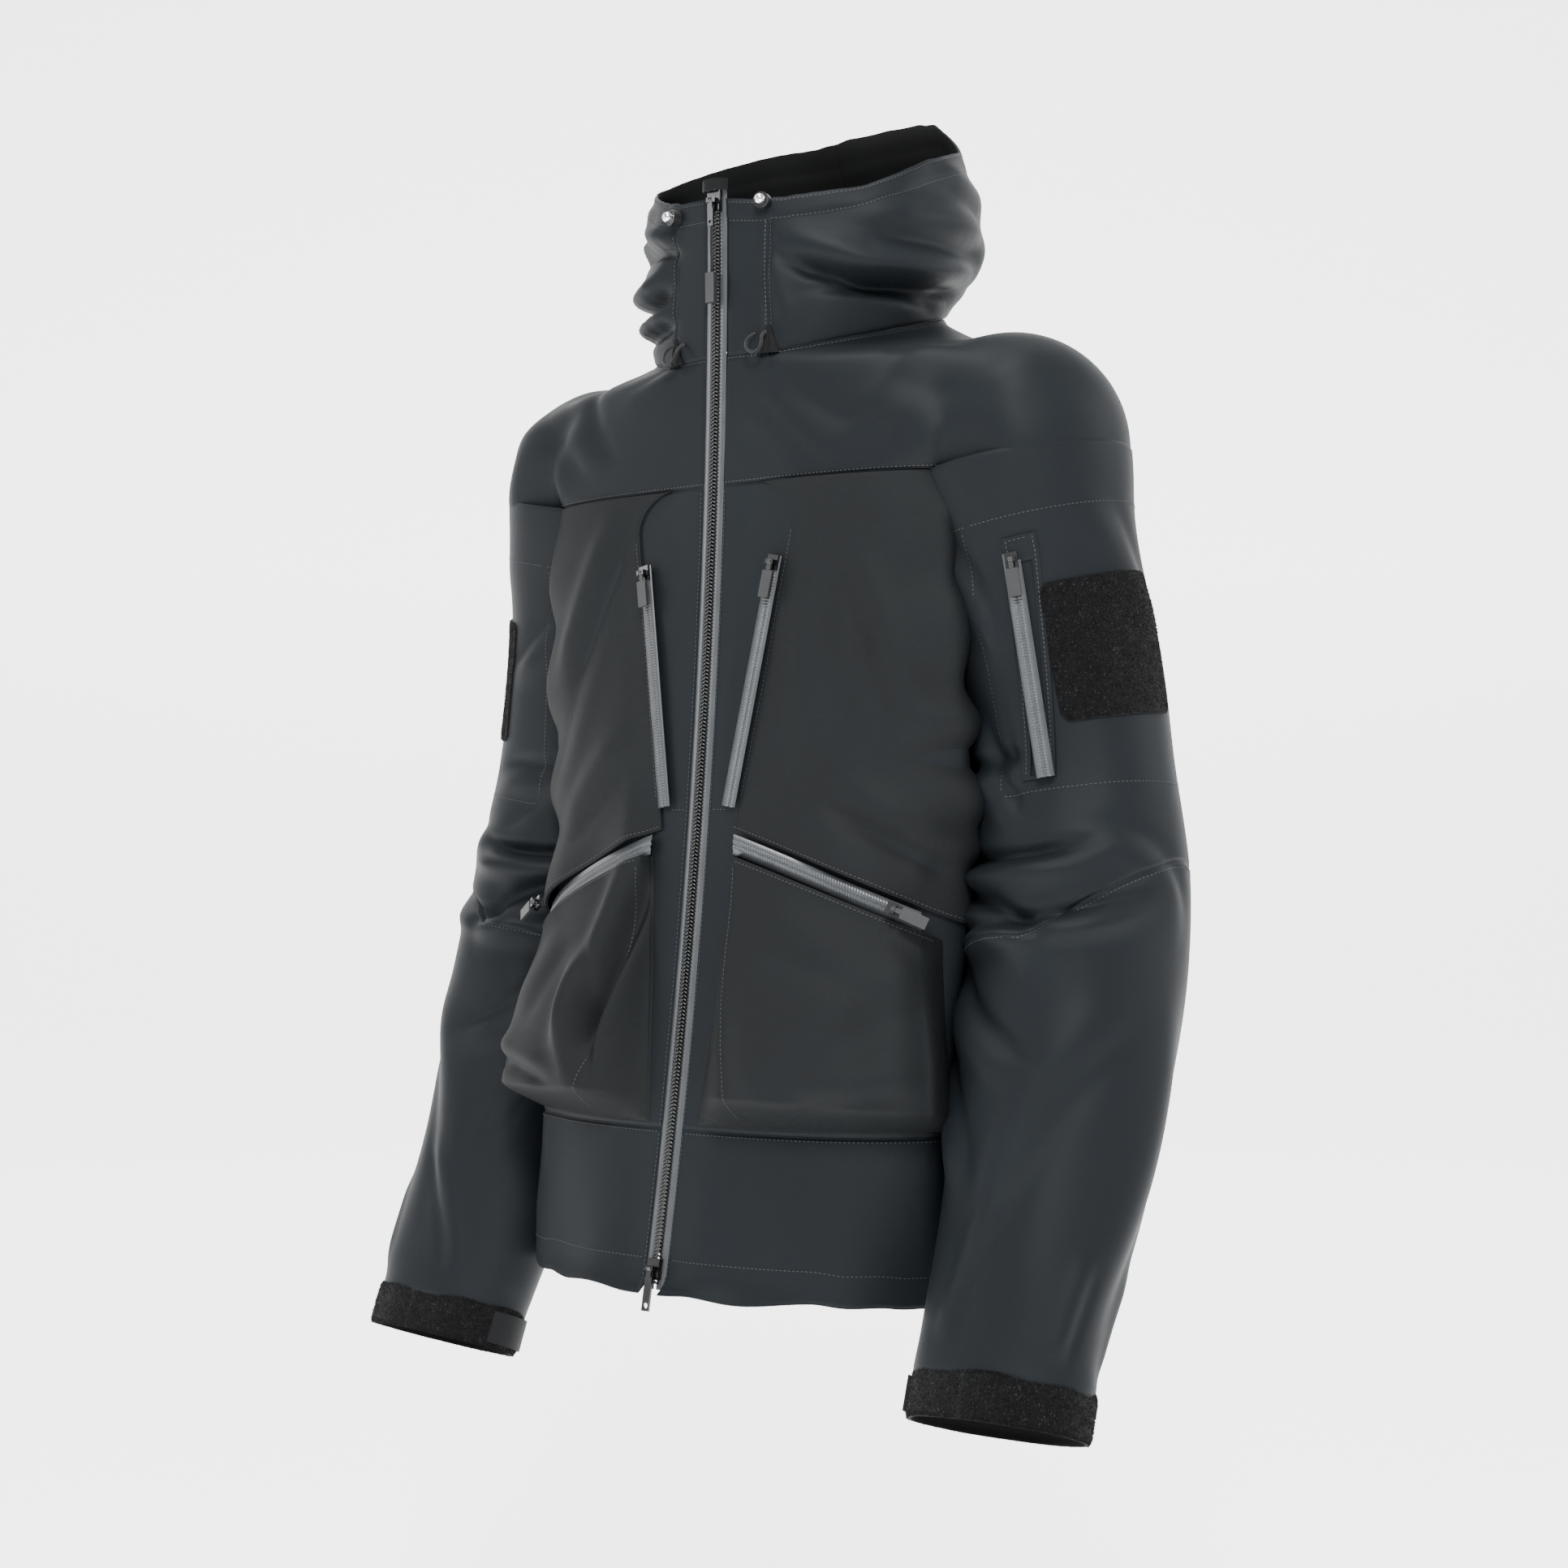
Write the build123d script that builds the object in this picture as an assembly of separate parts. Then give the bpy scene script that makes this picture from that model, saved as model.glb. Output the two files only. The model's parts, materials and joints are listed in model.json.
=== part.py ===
"""Hooded hardshell jacket, size M, as worn: cloth shells, pockets, zips, hood and cuffs.

Sizes are in mm. While modelling, X points to the wearer's left, Y to the back and Z up, with Z 0 at
the front hem. save() then moves every piece so that the hanger loop's centre is the origin.
"""
from build123d import *
import math
import os

# ---------------------------------------------------------------- driving dimensions
CLOTH = 2.5             # wall of a soft shell
GAP = 0.5               # clearance between pieces that move past each other
LAID = 0.25             # clearance under a piece sewn onto a curved shell

ZIP_TOP = 800.0         # height of the main zip's top end above the front hem
ZIP_FOOT_Y = -170.0     # front of the zip at the hem
ZIP_HEAD_Y = -99.0      # front of the zip at its top end
ZIP_SAG = 20.0          # how far the zip's middle lies behind its chord
ZIP_SLOT = 8.2          # half the gap between the front panels
TEETH_HALF = 3.0        # half the width of the closed row of teeth
TEETH_PROUD = 2.2       # how far the teeth stand in front of the tape

HEM_SEAM = 113.0        # seam between the hem band and the front panels
CHEST_SEAM = 580.0      # seam between the front panels and the yoke
SIDE_FRONT_Y = -46.0    # front edge of the side panels
SIDE_BACK_Y = 62.0      # back edge of the side panels

# Torso rings from the hem up to the neck seam. Each is the height at the front, the half width,
# the back's Y, the squareness of the outline, and the slope of the ring's plane towards the back.
TORSO_RINGS = [
    (0.0, 197.0, 112.0, 2.5, -0.10),
    (113.0, 204.0, 113.0, 2.5, -0.02),
    (230.0, 205.0, 110.0, 2.4, 0.0),
    (345.0, 208.0, 112.0, 2.5, 0.0),
    (450.0, 216.0, 120.0, 2.7, 0.0),
    (540.0, 219.0, 126.0, 2.7, 0.0),
    (610.0, 222.0, 124.0, 2.5, 0.0),
    (664.0, 208.0, 108.0, 2.1, 0.02),
    (671.0, 112.0, 92.0, 2.1, 0.286),
]
# Hood and collar rings from the neck seam up to the rim, in the same order of values.
HOOD_RINGS = [
    (671.0, 112.0, 92.0, 2.1, 0.286),
    (700.0, 124.0, 146.0, 2.1, 0.25),
    (745.0, 128.0, 158.0, 2.1, 0.29),
    (790.0, 112.0, 116.0, 2.1, 0.45),
]
RING_CENTRE_Y = 5.0     # where each ring is widest
RING_POINTS = 28
OPEN_END = 12.0         # how far a cut runs past the end of a shell that it opens

SHOULDER = Vector(190, 5, 600)      # centre of the left sleeve's shoulder ball
ELBOW = Vector(243, 11, 288)
CUFF = Vector(256, -112, -42)       # centre of the cuff band's upper edge
CAP_RADIUS = 86.0       # outside of the shoulder cap
ELBOW_RADIUS = 82.0     # outside of the upper sleeve's elbow
ARM_RADIUS = 70.0       # outside of the sleeve beside both balls
CUFF_WIDE, CUFF_DEEP = 65.0, 46.0   # half axes of the sleeve's end
CUFF_BAND = 33.0        # height of the hook-and-loop band
ARMHOLE = 72.0          # radius of the arm's way through the torso's side
CAP_INNER = 48.0        # how far the shoulder cap reaches inwards past its centre
ELBOW_LIP = 14.0        # how far the upper sleeve's elbow reaches past its centre
BALL_TOP = 50.0         # how far the forearm's ball reaches back past its centre
BEND_SHARE = 15.0       # degrees between the elbow's lip and the forearm at rest

HOOD_AXIS_Y, HOOD_AXIS_Z = 96.5, 722.0      # where the hood folds at the back of the neck
HOOD_SEAM_X = 45.0      # half the width of the hood's middle panel

CHEST_ZIP_TOP = (61.0, 524.0)       # X and Z of the left chest zip's ends
CHEST_ZIP_FOOT = (30.0, 344.0)
HAND_ZIP = [(40.0, 322.0), (112.0, 296.0), (172.0, 268.0)]    # X and Z along the left hand zip
HAND_SLIDER_INSET = 14.0            # from the zip's outer end to its slider's top
SLEEVE_ZIP_SPAN = (86.0, 244.0)     # from and to, down the sleeve from the shoulder's centre
SLEEVE_ZIP_TURN = 21.0              # degrees round the sleeve from straight ahead
PATCH_SIDE = 100.0
PATCH_DOWN = 158.0                  # patch's centre, down the sleeve from the shoulder's centre
PATCH_TURN = 70.0

HANGER = Vector(0, 81, 716)         # centre of the hanger loop


# ---------------------------------------------------------------- the front line of the zip
def zip_circle():
    """Centre (Y, Z) and radius of the circle that the zip's front follows."""
    dy, dz = ZIP_HEAD_Y - ZIP_FOOT_Y, ZIP_TOP
    chord = math.hypot(dy, dz)
    radius = (chord ** 2 / 4 + ZIP_SAG ** 2) / (2 * ZIP_SAG)
    back = (ZIP_SAG - radius) / chord
    return (ZIP_FOOT_Y + dy / 2 + dz * back, dz / 2 - dy * back, radius)


ZIP_CY, ZIP_CZ, ZIP_R = zip_circle()


def front_y(z):
    """Y of the centre front at height z."""
    return ZIP_CY + math.sqrt(ZIP_R ** 2 - (z - ZIP_CZ) ** 2)


# ---------------------------------------------------------------- shells from rings
def power(value, exponent):
    return math.copysign(abs(value) ** exponent, value)


def ring_face(ring, grow, lift=0.0):
    """A closed outline of the torso or hood, grown outwards, starting at the centre back."""
    z, half, back, square, slope = ring
    front = front_y(z) - grow
    points = []
    for k in range(RING_POINTS):
        turn = 2 * math.pi * k / RING_POINTS
        x = (half + grow) * power(math.sin(turn), 2 / square)
        along = power(math.cos(turn), 2 / square)
        depth = back + grow - RING_CENTRE_Y if along > 0 else RING_CENTRE_Y - front
        y = RING_CENTRE_Y + depth * along
        points.append((x, y, z + lift + slope * (y - front_y(z))))
    return Face(Wire([Spline(*points, periodic=True)]))


def ring_solid(rings, grow, lift=0.0):
    return loft([ring_face(ring, grow, lift) for ring in rings], ruled=True)


def hollow(rings, drop):
    """The space inside a shell of these rings, running out past both of its ends."""
    faces = [ring_face(rings[0], -CLOTH, -OPEN_END)]
    faces += [ring_face(ring, -CLOTH, -drop) for ring in rings]
    faces.append(ring_face(rings[-1], -CLOTH, OPEN_END))
    return loft(faces, ruled=True)


def ring_at(z):
    """The torso's ring at height z, by even steps between the listed rings."""
    for low, high in zip(TORSO_RINGS, TORSO_RINGS[1:]):
        if z <= high[0]:
            share = (z - low[0]) / (high[0] - low[0])
            return tuple(a + (b - a) * share for a, b in zip(low, high))
    return TORSO_RINGS[-1]


def skin_point(x, z, grow):
    """A point on the torso's front, grown outwards."""
    _, half, _, square, _ = ring_at(z)
    across = (abs(x) / (half + grow)) ** (square / 2)
    forward = (1 - across ** 2) ** (1 / square)
    return Vector(x, RING_CENTRE_Y - (RING_CENTRE_Y - front_y(z) + grow) * forward, z)


# ---------------------------------------------------------------- small helpers
def block(x0, x1, y0, y1, z0, z1):
    return Pos((x0 + x1) / 2, (y0 + y1) / 2, (z0 + z1) / 2) * Box(x1 - x0, y1 - y0, z1 - z0)


def half_space(origin, normal, size=1500.0):
    """A large block on the side of a plane that its normal points to."""
    return Plane(origin=origin, z_dir=normal).location * Pos(0, 0, size / 2) * Box(size, size, size)


def mirrored(shape):
    return mirror(shape, about=Plane.YZ)


def ball(centre, radius):
    return Pos(*centre) * Sphere(radius)


def tube(start, end, radius):
    """A round bar between two points."""
    along = end - start
    place = Plane(origin=start, z_dir=along).location * Pos(0, 0, along.length / 2)
    return place * Cylinder(radius, along.length)


def prism(points, y0=-240.0, y1=0.0):
    """A block whose outline is given as X and Z points, seen from the front."""
    outline = Polyline(*[(x, y0, z) for x, z in points], close=True)
    return extrude(make_face(outline), amount=y1 - y0, dir=(0, 1, 0))


def surface_plane(origin, along, outward):
    """A plane with Z along a zip, X across it and Y pointing inwards."""
    z_dir = along.normalized()
    inward = -(outward - z_dir * outward.dot(z_dir)).normalized()
    return Plane(origin=origin, x_dir=inward.cross(z_dir), z_dir=z_dir)


# ---------------------------------------------------------------- torso
def sleeve_envelope(grow):
    """The space that the left sleeve takes up beside the torso."""
    cuff_end = CUFF + (CUFF - ELBOW).normalized() * (CUFF_BAND + OPEN_END)
    return (
        ball(SHOULDER, CAP_RADIUS + grow)
        + tube(SHOULDER, ELBOW, ARM_RADIUS + grow)
        + ball(ELBOW, ELBOW_RADIUS + grow)
        + tube(ELBOW, cuff_end, ARM_RADIUS + grow)
    )


def torso_shell():
    """The left half of the torso's cloth, dented where the sleeve lies against it."""
    side = block(0, 300, -300, 300, -100, 900)
    outer = ring_solid(TORSO_RINGS, 0) & side
    outer -= sleeve_envelope(GAP)
    inner = (hollow(TORSO_RINGS, 2.0) & side) - sleeve_envelope(GAP + CLOTH)
    armhole = tube(Vector(40, SHOULDER.Y, SHOULDER.Z), SHOULDER, ARMHOLE)
    zip_slot = block(-1, ZIP_SLOT, -300, 0, -100, 900)
    return outer - inner - armhole - zip_slot


def torso_panels(shell):
    low, high = -100.0, 900.0
    front = block(0, 300, -300, SIDE_FRONT_Y, HEM_SEAM, CHEST_SEAM)
    side = block(0, 300, SIDE_FRONT_Y, SIDE_BACK_Y, HEM_SEAM, CHEST_SEAM)
    back = block(0, 300, SIDE_BACK_Y, 300, HEM_SEAM, CHEST_SEAM)
    return {
        "front_panel": shell & front,
        "side_panel": shell & side,
        "back_half": shell & back,
        "yoke": shell & block(0, 300, -300, 300, CHEST_SEAM, high),
        "hem_band": shell & block(0, 300, -300, SIDE_BACK_Y, low, HEM_SEAM),
        "hem_back_half": shell & block(0, 300, SIDE_BACK_Y, 300, low, HEM_SEAM),
    }


# ---------------------------------------------------------------- pockets
CHEST_PLATE = 3.2
POCKET_GROW = [(104.0, 24.0), (150.0, 27.0), (230.0, 19.0), (345.0, 9.0)]


def chest_pocket():
    """A flat pocket plate, with its inner edge beside the chest zip."""
    zip_half = 8.2
    outline = [
        (CHEST_ZIP_FOOT[0] + zip_half, 344),
        (CHEST_ZIP_TOP[0] + zip_half, 536),
        (58, 562),
        (42, CHEST_SEAM - 1),
        (176, CHEST_SEAM - 1),
        (172, 300),
    ]
    plate = ring_solid(TORSO_RINGS, CHEST_PLATE) & prism(outline)
    return plate - ring_solid(TORSO_RINGS, LAID) - sleeve_envelope(GAP)


def pocket_grow(z):
    """How far the cargo pocket's face stands off the torso at height z."""
    for low, high in zip(POCKET_GROW, POCKET_GROW[1:]):
        if z <= high[0]:
            return low[1] + (high[1] - low[1]) * (z - low[0]) / (high[0] - low[0])
    return POCKET_GROW[-1][1]


def cargo_pocket():
    """A bellows pocket: a tray with its open back against the front panel."""
    outline = [(17, 116), (36, 334), (104, 310), (174, 278), (174, 230), (166, 116)]
    middle = (95, 215)
    inset = 0.96
    inside = [(middle[0] + (x - middle[0]) * inset, middle[1] + (z - middle[1]) * inset) for x, z in outline]
    outer = loft([ring_face(ring_at(z), grow) for z, grow in POCKET_GROW], ruled=True)
    inner = loft([ring_face(ring_at(z), grow - CLOTH) for z, grow in POCKET_GROW], ruled=True)
    tray = (outer & prism(outline)) - (inner & prism(inside))
    return tray - ring_solid(TORSO_RINGS, LAID) - sleeve_envelope(GAP)


# ---------------------------------------------------------------- sleeves
FOREARM = (CUFF - ELBOW).normalized()


def forearm_plane(down):
    """A cross-section plane of the forearm, some way down from the elbow."""
    across = Vector(1, 0, 0) - FOREARM * FOREARM.X
    return Plane(origin=ELBOW + FOREARM * down, x_dir=across, z_dir=FOREARM)


def upper_sleeve():
    def body(grow):
        return (
            ball(SHOULDER, CAP_RADIUS + grow)
            + tube(SHOULDER, ELBOW, ARM_RADIUS + grow)
            + ball(ELBOW, ELBOW_RADIUS + grow)
        )

    bend_axis = Vector(-1, 0, 0)
    lip_way = FOREARM.rotate(Axis((0, 0, 0), bend_axis), BEND_SHARE)
    shell = body(0) - body(-CLOTH)
    shell -= half_space(SHOULDER - Vector(CAP_INNER, 0, 0), Vector(-1, 0, 0))
    return shell - half_space(ELBOW + lip_way * ELBOW_LIP, lip_way)


def lower_sleeve():
    ball_radius = ELBOW_RADIUS - CLOTH - GAP

    def body(grow, past):
        top = forearm_plane(0) * Circle(ARM_RADIUS + grow)
        length = (CUFF - ELBOW).length
        end = forearm_plane(length) * Ellipse(CUFF_WIDE + grow, CUFF_DEEP + grow)
        arm = loft([top.face(), end.face()], ruled=True)
        if past:
            arm += extrude(end, amount=past, dir=FOREARM)
        return arm + ball(ELBOW, ball_radius + grow)

    shell = body(0, 0) - body(-CLOTH, OPEN_END)
    return shell - half_space(ELBOW - FOREARM * BALL_TOP, FOREARM * -1)


def cuff_ring(grow, start, height):
    """A solid oval drum round the cuff, from its upper edge plus start."""
    length = (CUFF - ELBOW).length
    section = forearm_plane(length + start) * Ellipse(CUFF_WIDE + grow, CUFF_DEEP + grow)
    return extrude(section, amount=height, dir=FOREARM)


def cuff_band():
    return cuff_ring(1.0, 0.0, CUFF_BAND) - cuff_ring(1.0 - CLOTH, -1.0, CUFF_BAND + 2)


TAB_HEIGHT = 24.0
TAB_THICK = 2.0
TAB_START = 4.5         # tab's upper edge below the band's upper edge
TAB_FRONT = 18.0        # how far the tab's hinge lies in front of the cuff's middle


def tab_hinge():
    """Where the left cuff tab is sewn on, at the band's inner side."""
    plane = forearm_plane((CUFF - ELBOW).length + TAB_START + TAB_HEIGHT / 2)
    down = TAB_FRONT / (CUFF_DEEP + 1)
    out = (CUFF_WIDE + 1 + GAP) * math.sqrt(1 - down ** 2)
    side = 1 if plane.y_dir.Y < 0 else -1
    return plane.origin - plane.x_dir * out + plane.y_dir * (TAB_FRONT * side)


def cuff_tab():
    """A strap that lies against the band's inner side and wraps to the back."""
    ring = cuff_ring(1.0 + GAP + TAB_THICK, TAB_START, TAB_HEIGHT)
    ring -= cuff_ring(1.0 + GAP, TAB_START - 1, TAB_HEIGHT + 2)
    plane = forearm_plane((CUFF - ELBOW).length)
    forward = plane.y_dir if plane.y_dir.Y < 0 else plane.y_dir * -1
    ring -= half_space(plane.origin + forward * TAB_FRONT, forward)
    return ring - half_space(plane.origin - plane.x_dir * 20.0, plane.x_dir)


def arm_radial(turn):
    """The direction out of the upper sleeve, turned round it from straight ahead."""
    along = (ELBOW - SHOULDER).normalized()
    flat = Vector(math.sin(math.radians(turn)), -math.cos(math.radians(turn)), 0)
    return (flat - along * flat.dot(along)).normalized()


def loop_patch():
    """The square of loop fastener that lies round the outside of the upper sleeve."""
    along = (ELBOW - SHOULDER).normalized()
    start = SHOULDER + along * (PATCH_DOWN - PATCH_SIDE / 2)
    end = SHOULDER + along * (PATCH_DOWN + PATCH_SIDE / 2)
    skin = ARM_RADIUS + LAID
    ring = tube(start, end, skin + 2.0) - tube(start - along, end + along, skin)
    half_turn = math.degrees(PATCH_SIDE / skin / 2)
    for turn in (PATCH_TURN - half_turn - 90, PATCH_TURN + half_turn + 90):
        ring -= half_space(start, arm_radial(turn))
    return ring


# ---------------------------------------------------------------- collar and hood
def fold_normal():
    """Out of the plane between the collar, which stays, and the hood, which folds back."""
    return Vector(0, ZIP_TOP - HOOD_AXIS_Z, HOOD_AXIS_Y - ZIP_HEAD_Y).normalized()


def collar_and_hood():
    shell = ring_solid(HOOD_RINGS, 0) - hollow(HOOD_RINGS, 0)
    shell -= block(-ZIP_SLOT, ZIP_SLOT, -300, 0, 600, 900)
    hinge = Vector(0, HOOD_AXIS_Y, HOOD_AXIS_Z)
    normal = fold_normal()
    collar = shell - half_space(hinge, normal)
    hood = shell - half_space(hinge + normal * GAP, normal * -1)
    left = block(0, 300, -300, 300, 600, 1000)
    middle = block(-HOOD_SEAM_X, HOOD_SEAM_X, 0, 300, 600, 1000)
    return {
        "collar": collar & left,
        "hood_middle": hood & middle,
        "hood_side": (hood & left) - middle,
    }


def hanger_loop():
    """A sewn tape loop with room behind it for a hook."""
    width, tall, thick = 64.0, 8.0, 2.0
    wall = 88.8
    y, z = HANGER.Y, HANGER.Z
    bar = block(-width / 2, width / 2, y - thick / 2, y + thick / 2, z - tall / 2, z + tall / 2)
    for side in (-1, 1):
        foot = side * (width / 2 - 3.0)
        bar += block(foot - 3.0, foot + 3.0, y, wall - abs(foot) * 0.06, z - tall / 2, z + tall / 2)
    return bar


# ---------------------------------------------------------------- main zip
def zip_ring(x0, x1, front, back, z0, z1):
    """A strip along the main zip, from `front` before to `back` behind its front line."""
    low = math.atan2(z0 - ZIP_CZ, front_y(z0) - ZIP_CY)
    high = math.atan2(z1 - ZIP_CZ, front_y(z1) - ZIP_CY)

    def at(radius, angle):
        return (x0, ZIP_CY + radius * math.cos(angle), ZIP_CZ + radius * math.sin(angle))

    inner, outer = ZIP_R - front, ZIP_R + back
    middle = (low + high) / 2
    outline = [
        ThreePointArc(at(inner, low), at(inner, middle), at(inner, high)),
        Line(at(inner, high), at(outer, high)),
        ThreePointArc(at(outer, high), at(outer, middle), at(outer, low)),
        Line(at(outer, low), at(inner, low)),
    ]
    return extrude(Face(Wire(outline)), amount=x1 - x0, dir=(1, 0, 0))


def main_zip_plane(z):
    point = Vector(0, front_y(z), z)
    outward = Vector(0, ZIP_CY - point.Y, ZIP_CZ - z).normalized()
    return surface_plane(point, Vector(0, outward.Z, -outward.Y), outward)


# ---------------------------------------------------------------- sliders and pulls
class SliderSize:
    """Sizes of one slider and its pull: the slider's width and length, and the clearance under it."""

    def __init__(self, width, length, lift, skirt, pull_length, grip_width, grip_thick, grip_from):
        self.width = width
        self.length = length
        self.lift = lift
        self.skirt = skirt
        self.pull_length = pull_length
        self.grip_width = grip_width
        self.grip_thick = grip_thick
        self.grip_from = grip_from


PLATE = 1.6             # thickness of a slider's front plate
PIN_HIGH = 2.7          # pull's pin above the plate
PIN_RADIUS = 0.9
PIN_CLEAR = 0.06        # radial clearance of the pull on its pin
EAR_INNER = 1.9         # half the gap between the slider's ears

MAIN = SliderSize(11.0, 15.0, TEETH_PROUD + GAP, 2.2, 19.0, 5.0, 1.8, 6.0)
FOOT = SliderSize(11.0, 15.0, TEETH_PROUD + GAP, 2.2, 30.0, 6.5, 1.8, 6.0)
UPPER_SLIDER_Z = ZIP_TOP - 4
LOWER_SLIDER_Z = 22.0
COIL = SliderSize(9.0, 11.0, 2.4, 0.7, 26.0, 8.5, 2.6, 6.5)


def pin_point(plane, size):
    """The middle of the pin that a pull turns on."""
    high = size.lift + PLATE + PIN_HIGH
    return plane.origin - plane.y_dir * high - plane.z_dir * (size.length / 2)


def slider(plane, size):
    half = size.width / 2
    top = -(size.lift + PLATE)
    shape = block(-half, half, top, -size.lift, -size.length, 0)
    for side in (-1, 1):
        edge = side * (half - 0.6)
        shape += block(edge - 0.6, edge + 0.6, -size.lift, -size.lift + size.skirt, -size.length, 0)
        ear = side * (EAR_INNER + 0.7)
        middle = -size.length / 2
        shape += block(ear - 0.7, ear + 0.7, top - PIN_HIGH - 1.6, top, middle - 1.8, middle + 1.8)
    pin = Pos(0, top - PIN_HIGH, -size.length / 2) * Rot(0, 90, 0) * Cylinder(PIN_RADIUS, 2 * EAR_INNER + 1.4)
    return plane.location * (shape + pin)


def pull(plane, size):
    neck = 2 * (EAR_INNER - 0.3)
    y = -(size.lift + PLATE + PIN_HIGH)
    z = -size.length / 2
    head = Pos(0, y, z) * Rot(0, 90, 0) * Cylinder(2.0, neck)
    stem = block(-neck / 2, neck / 2, y - 0.7, y + 0.7, z - size.grip_from - 1, z - 1.2)
    grip_half, thick_half = size.grip_width / 2, size.grip_thick / 2
    grip = block(-grip_half, grip_half, y - thick_half, y + thick_half, z - size.pull_length, z - size.grip_from)
    hole = Pos(0, y, z) * Rot(0, 90, 0) * Cylinder(PIN_RADIUS + PIN_CLEAR, neck + 2)
    shape = head + stem + grip - hole
    if size is not COIL:
        ring_middle = z - size.pull_length + grip_half + 0.6
        shape -= Pos(0, y, ring_middle) * Rot(90, 0, 0) * Cylinder(grip_half - 1.2, 6.0)
    return plane.location * shape


def tape_strip(plane, length, width):
    """A straight coated tape with its coil ridge, down from the plane's origin."""
    strip = block(-width / 2, width / 2, -1.2, 0, -length, 0)
    ridge = block(-1.6, 1.6, -1.9, -1.2, -length, 0)
    return plane.location * (strip + ridge)


# ---------------------------------------------------------------- pocket zips
def chest_zip():
    """Plane and length of the left chest zip."""
    top = skin_point(*CHEST_ZIP_TOP, CHEST_PLATE - 1.0)
    foot = skin_point(*CHEST_ZIP_FOOT, CHEST_PLATE - 1.0)
    beside = skin_point(CHEST_ZIP_TOP[0] + 10, CHEST_ZIP_TOP[1], CHEST_PLATE - 1.0)
    outward = (beside - top).cross(top - foot)
    outward = outward if outward.Y < 0 else outward * -1
    return surface_plane(top, top - foot, outward), (top - foot).length


def hand_arc():
    """Plane, radius and turn of the left hand zip, which runs round the body on an arc.

    The plane's origin is the arc's centre, its X points at the zip's inner end and the zip runs
    from there towards its Y.
    """
    raised = 1.5
    points = [skin_point(x, z, pocket_grow(z) + raised) for x, z in HAND_ZIP]
    circle = ThreePointArc(*points)
    centre = circle.arc_center
    first = (points[0] - centre).normalized()
    axis = first.cross(points[2] - centre).normalized()
    turn = first.get_angle(points[2] - centre)
    return Plane(origin=centre, x_dir=first, z_dir=axis), circle.radius, turn


def arc_strip(width, front, back, radius, turn):
    """A band round the local Z axis, `front` outside and `back` inside the radius."""
    section = Pos(radius + (front - back) / 2, 0, 0) * Rot(90, 0, 0) * Rectangle(front + back, width)
    return revolve(section, axis=Axis.Z, revolution_arc=turn)


def hand_zip_tape():
    plane, radius, turn = hand_arc()
    band = arc_strip(13.0, 1.2, 0.0, radius, turn) + arc_strip(3.2, 1.9, 0.0, radius, turn)
    return plane.location * band


def hand_slider_plane():
    """The slider sits at the outer end and its pull points outwards, away from the zip."""
    plane, radius, turn = hand_arc()
    margin = math.degrees(HAND_SLIDER_INSET / radius)
    angle = math.radians(turn - margin)
    outward = plane.x_dir * math.cos(angle) + plane.y_dir * math.sin(angle)
    along = plane.x_dir * math.sin(angle) - plane.y_dir * math.cos(angle)
    return surface_plane(plane.origin + outward * radius, along, outward)


def sleeve_zip():
    """Plane and length of the left sleeve's pocket zip."""
    along = (ELBOW - SHOULDER).normalized()
    outward = arm_radial(SLEEVE_ZIP_TURN)
    start, end = SLEEVE_ZIP_SPAN
    top = SHOULDER + along * start + outward * (ARM_RADIUS + 0.6)
    return surface_plane(top, along * -1, outward), end - start


# ---------------------------------------------------------------- hood cords and locks
LOCK_X, LOCK_Z = 40.0, 783.0
CORD_X, CORD_Z = 37.0, 688.0
CORD_DIAMETER = 2.4
CORD_OFF = 2.0          # from the collar to the middle of the cord where it comes out


def collar_point(x, z):
    """A point on the collar's front, between its rings."""
    for low, high in zip(HOOD_RINGS, HOOD_RINGS[1:]):
        if z <= high[0]:
            share = (z - low[0]) / (high[0] - low[0])
            half = low[1] + (high[1] - low[1]) * share
            square = low[3] + (high[3] - low[3]) * share
            break
    forward = (1 - (abs(x) / half) ** square) ** (1 / square)
    return Vector(x, RING_CENTRE_Y - (RING_CENTRE_Y - front_y(z)) * forward, z)


def lock_plane():
    point = collar_point(LOCK_X, LOCK_Z)
    beside = collar_point(LOCK_X + 8, LOCK_Z)
    outward = (beside - point).cross(Vector(0, 0, 1))
    outward = outward if outward.Y < 0 else outward * -1
    return surface_plane(point + outward.normalized() * 1.5, Vector(0, 0, 1), outward)


def cord_lock():
    """The lock's round body, with a bore that its button slides in."""
    body = Pos(0, -3.5, 0) * Rot(90, 0, 0) * Cylinder(6.0, 7.0)
    bore = Pos(0, -5.5, 0) * Rot(90, 0, 0) * Cylinder(4.3, 8.0)
    return lock_plane().location * (body - bore)


def cord_button():
    stem = Pos(0, -7.0, 0) * Rot(90, 0, 0) * Cylinder(4.0, 4.0)
    dome = Pos(0, -9.0, 0) * Sphere(4.0) & block(-5, 5, -14, -9, -5, 5)
    return lock_plane().location * (stem + dome)


def cord_points():
    """The left neck cord's route, out of the channel's foot and back in."""
    x, z = CORD_X, CORD_Z
    y = collar_point(x, z).Y - CORD_OFF
    return [
        (x - 5, y, z),
        (x - 5, y - 6, z - 2),
        (x - 3, y - 10, z - 9),
        (x + 1, y - 10.5, z - 16),
        (x + 6, y - 9.5, z - 16.5),
        (x + 8, y - 8, z - 9.5),
        (x + 6, y - 5.5, z - 3),
        (x + 5, y, z + 0.5),
    ]


def cord_radii(points):
    """The largest arc that each corner's two runs allow."""
    radii = []
    for before, corner, after in zip(points, points[1:], points[2:]):
        a, b = Vector(*corner) - Vector(*before), Vector(*after) - Vector(*corner)
        turn = math.radians(a.get_angle(b))
        radii.append(0.45 * min(a.length, b.length) / math.tan(turn / 2))
    return radii


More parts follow.
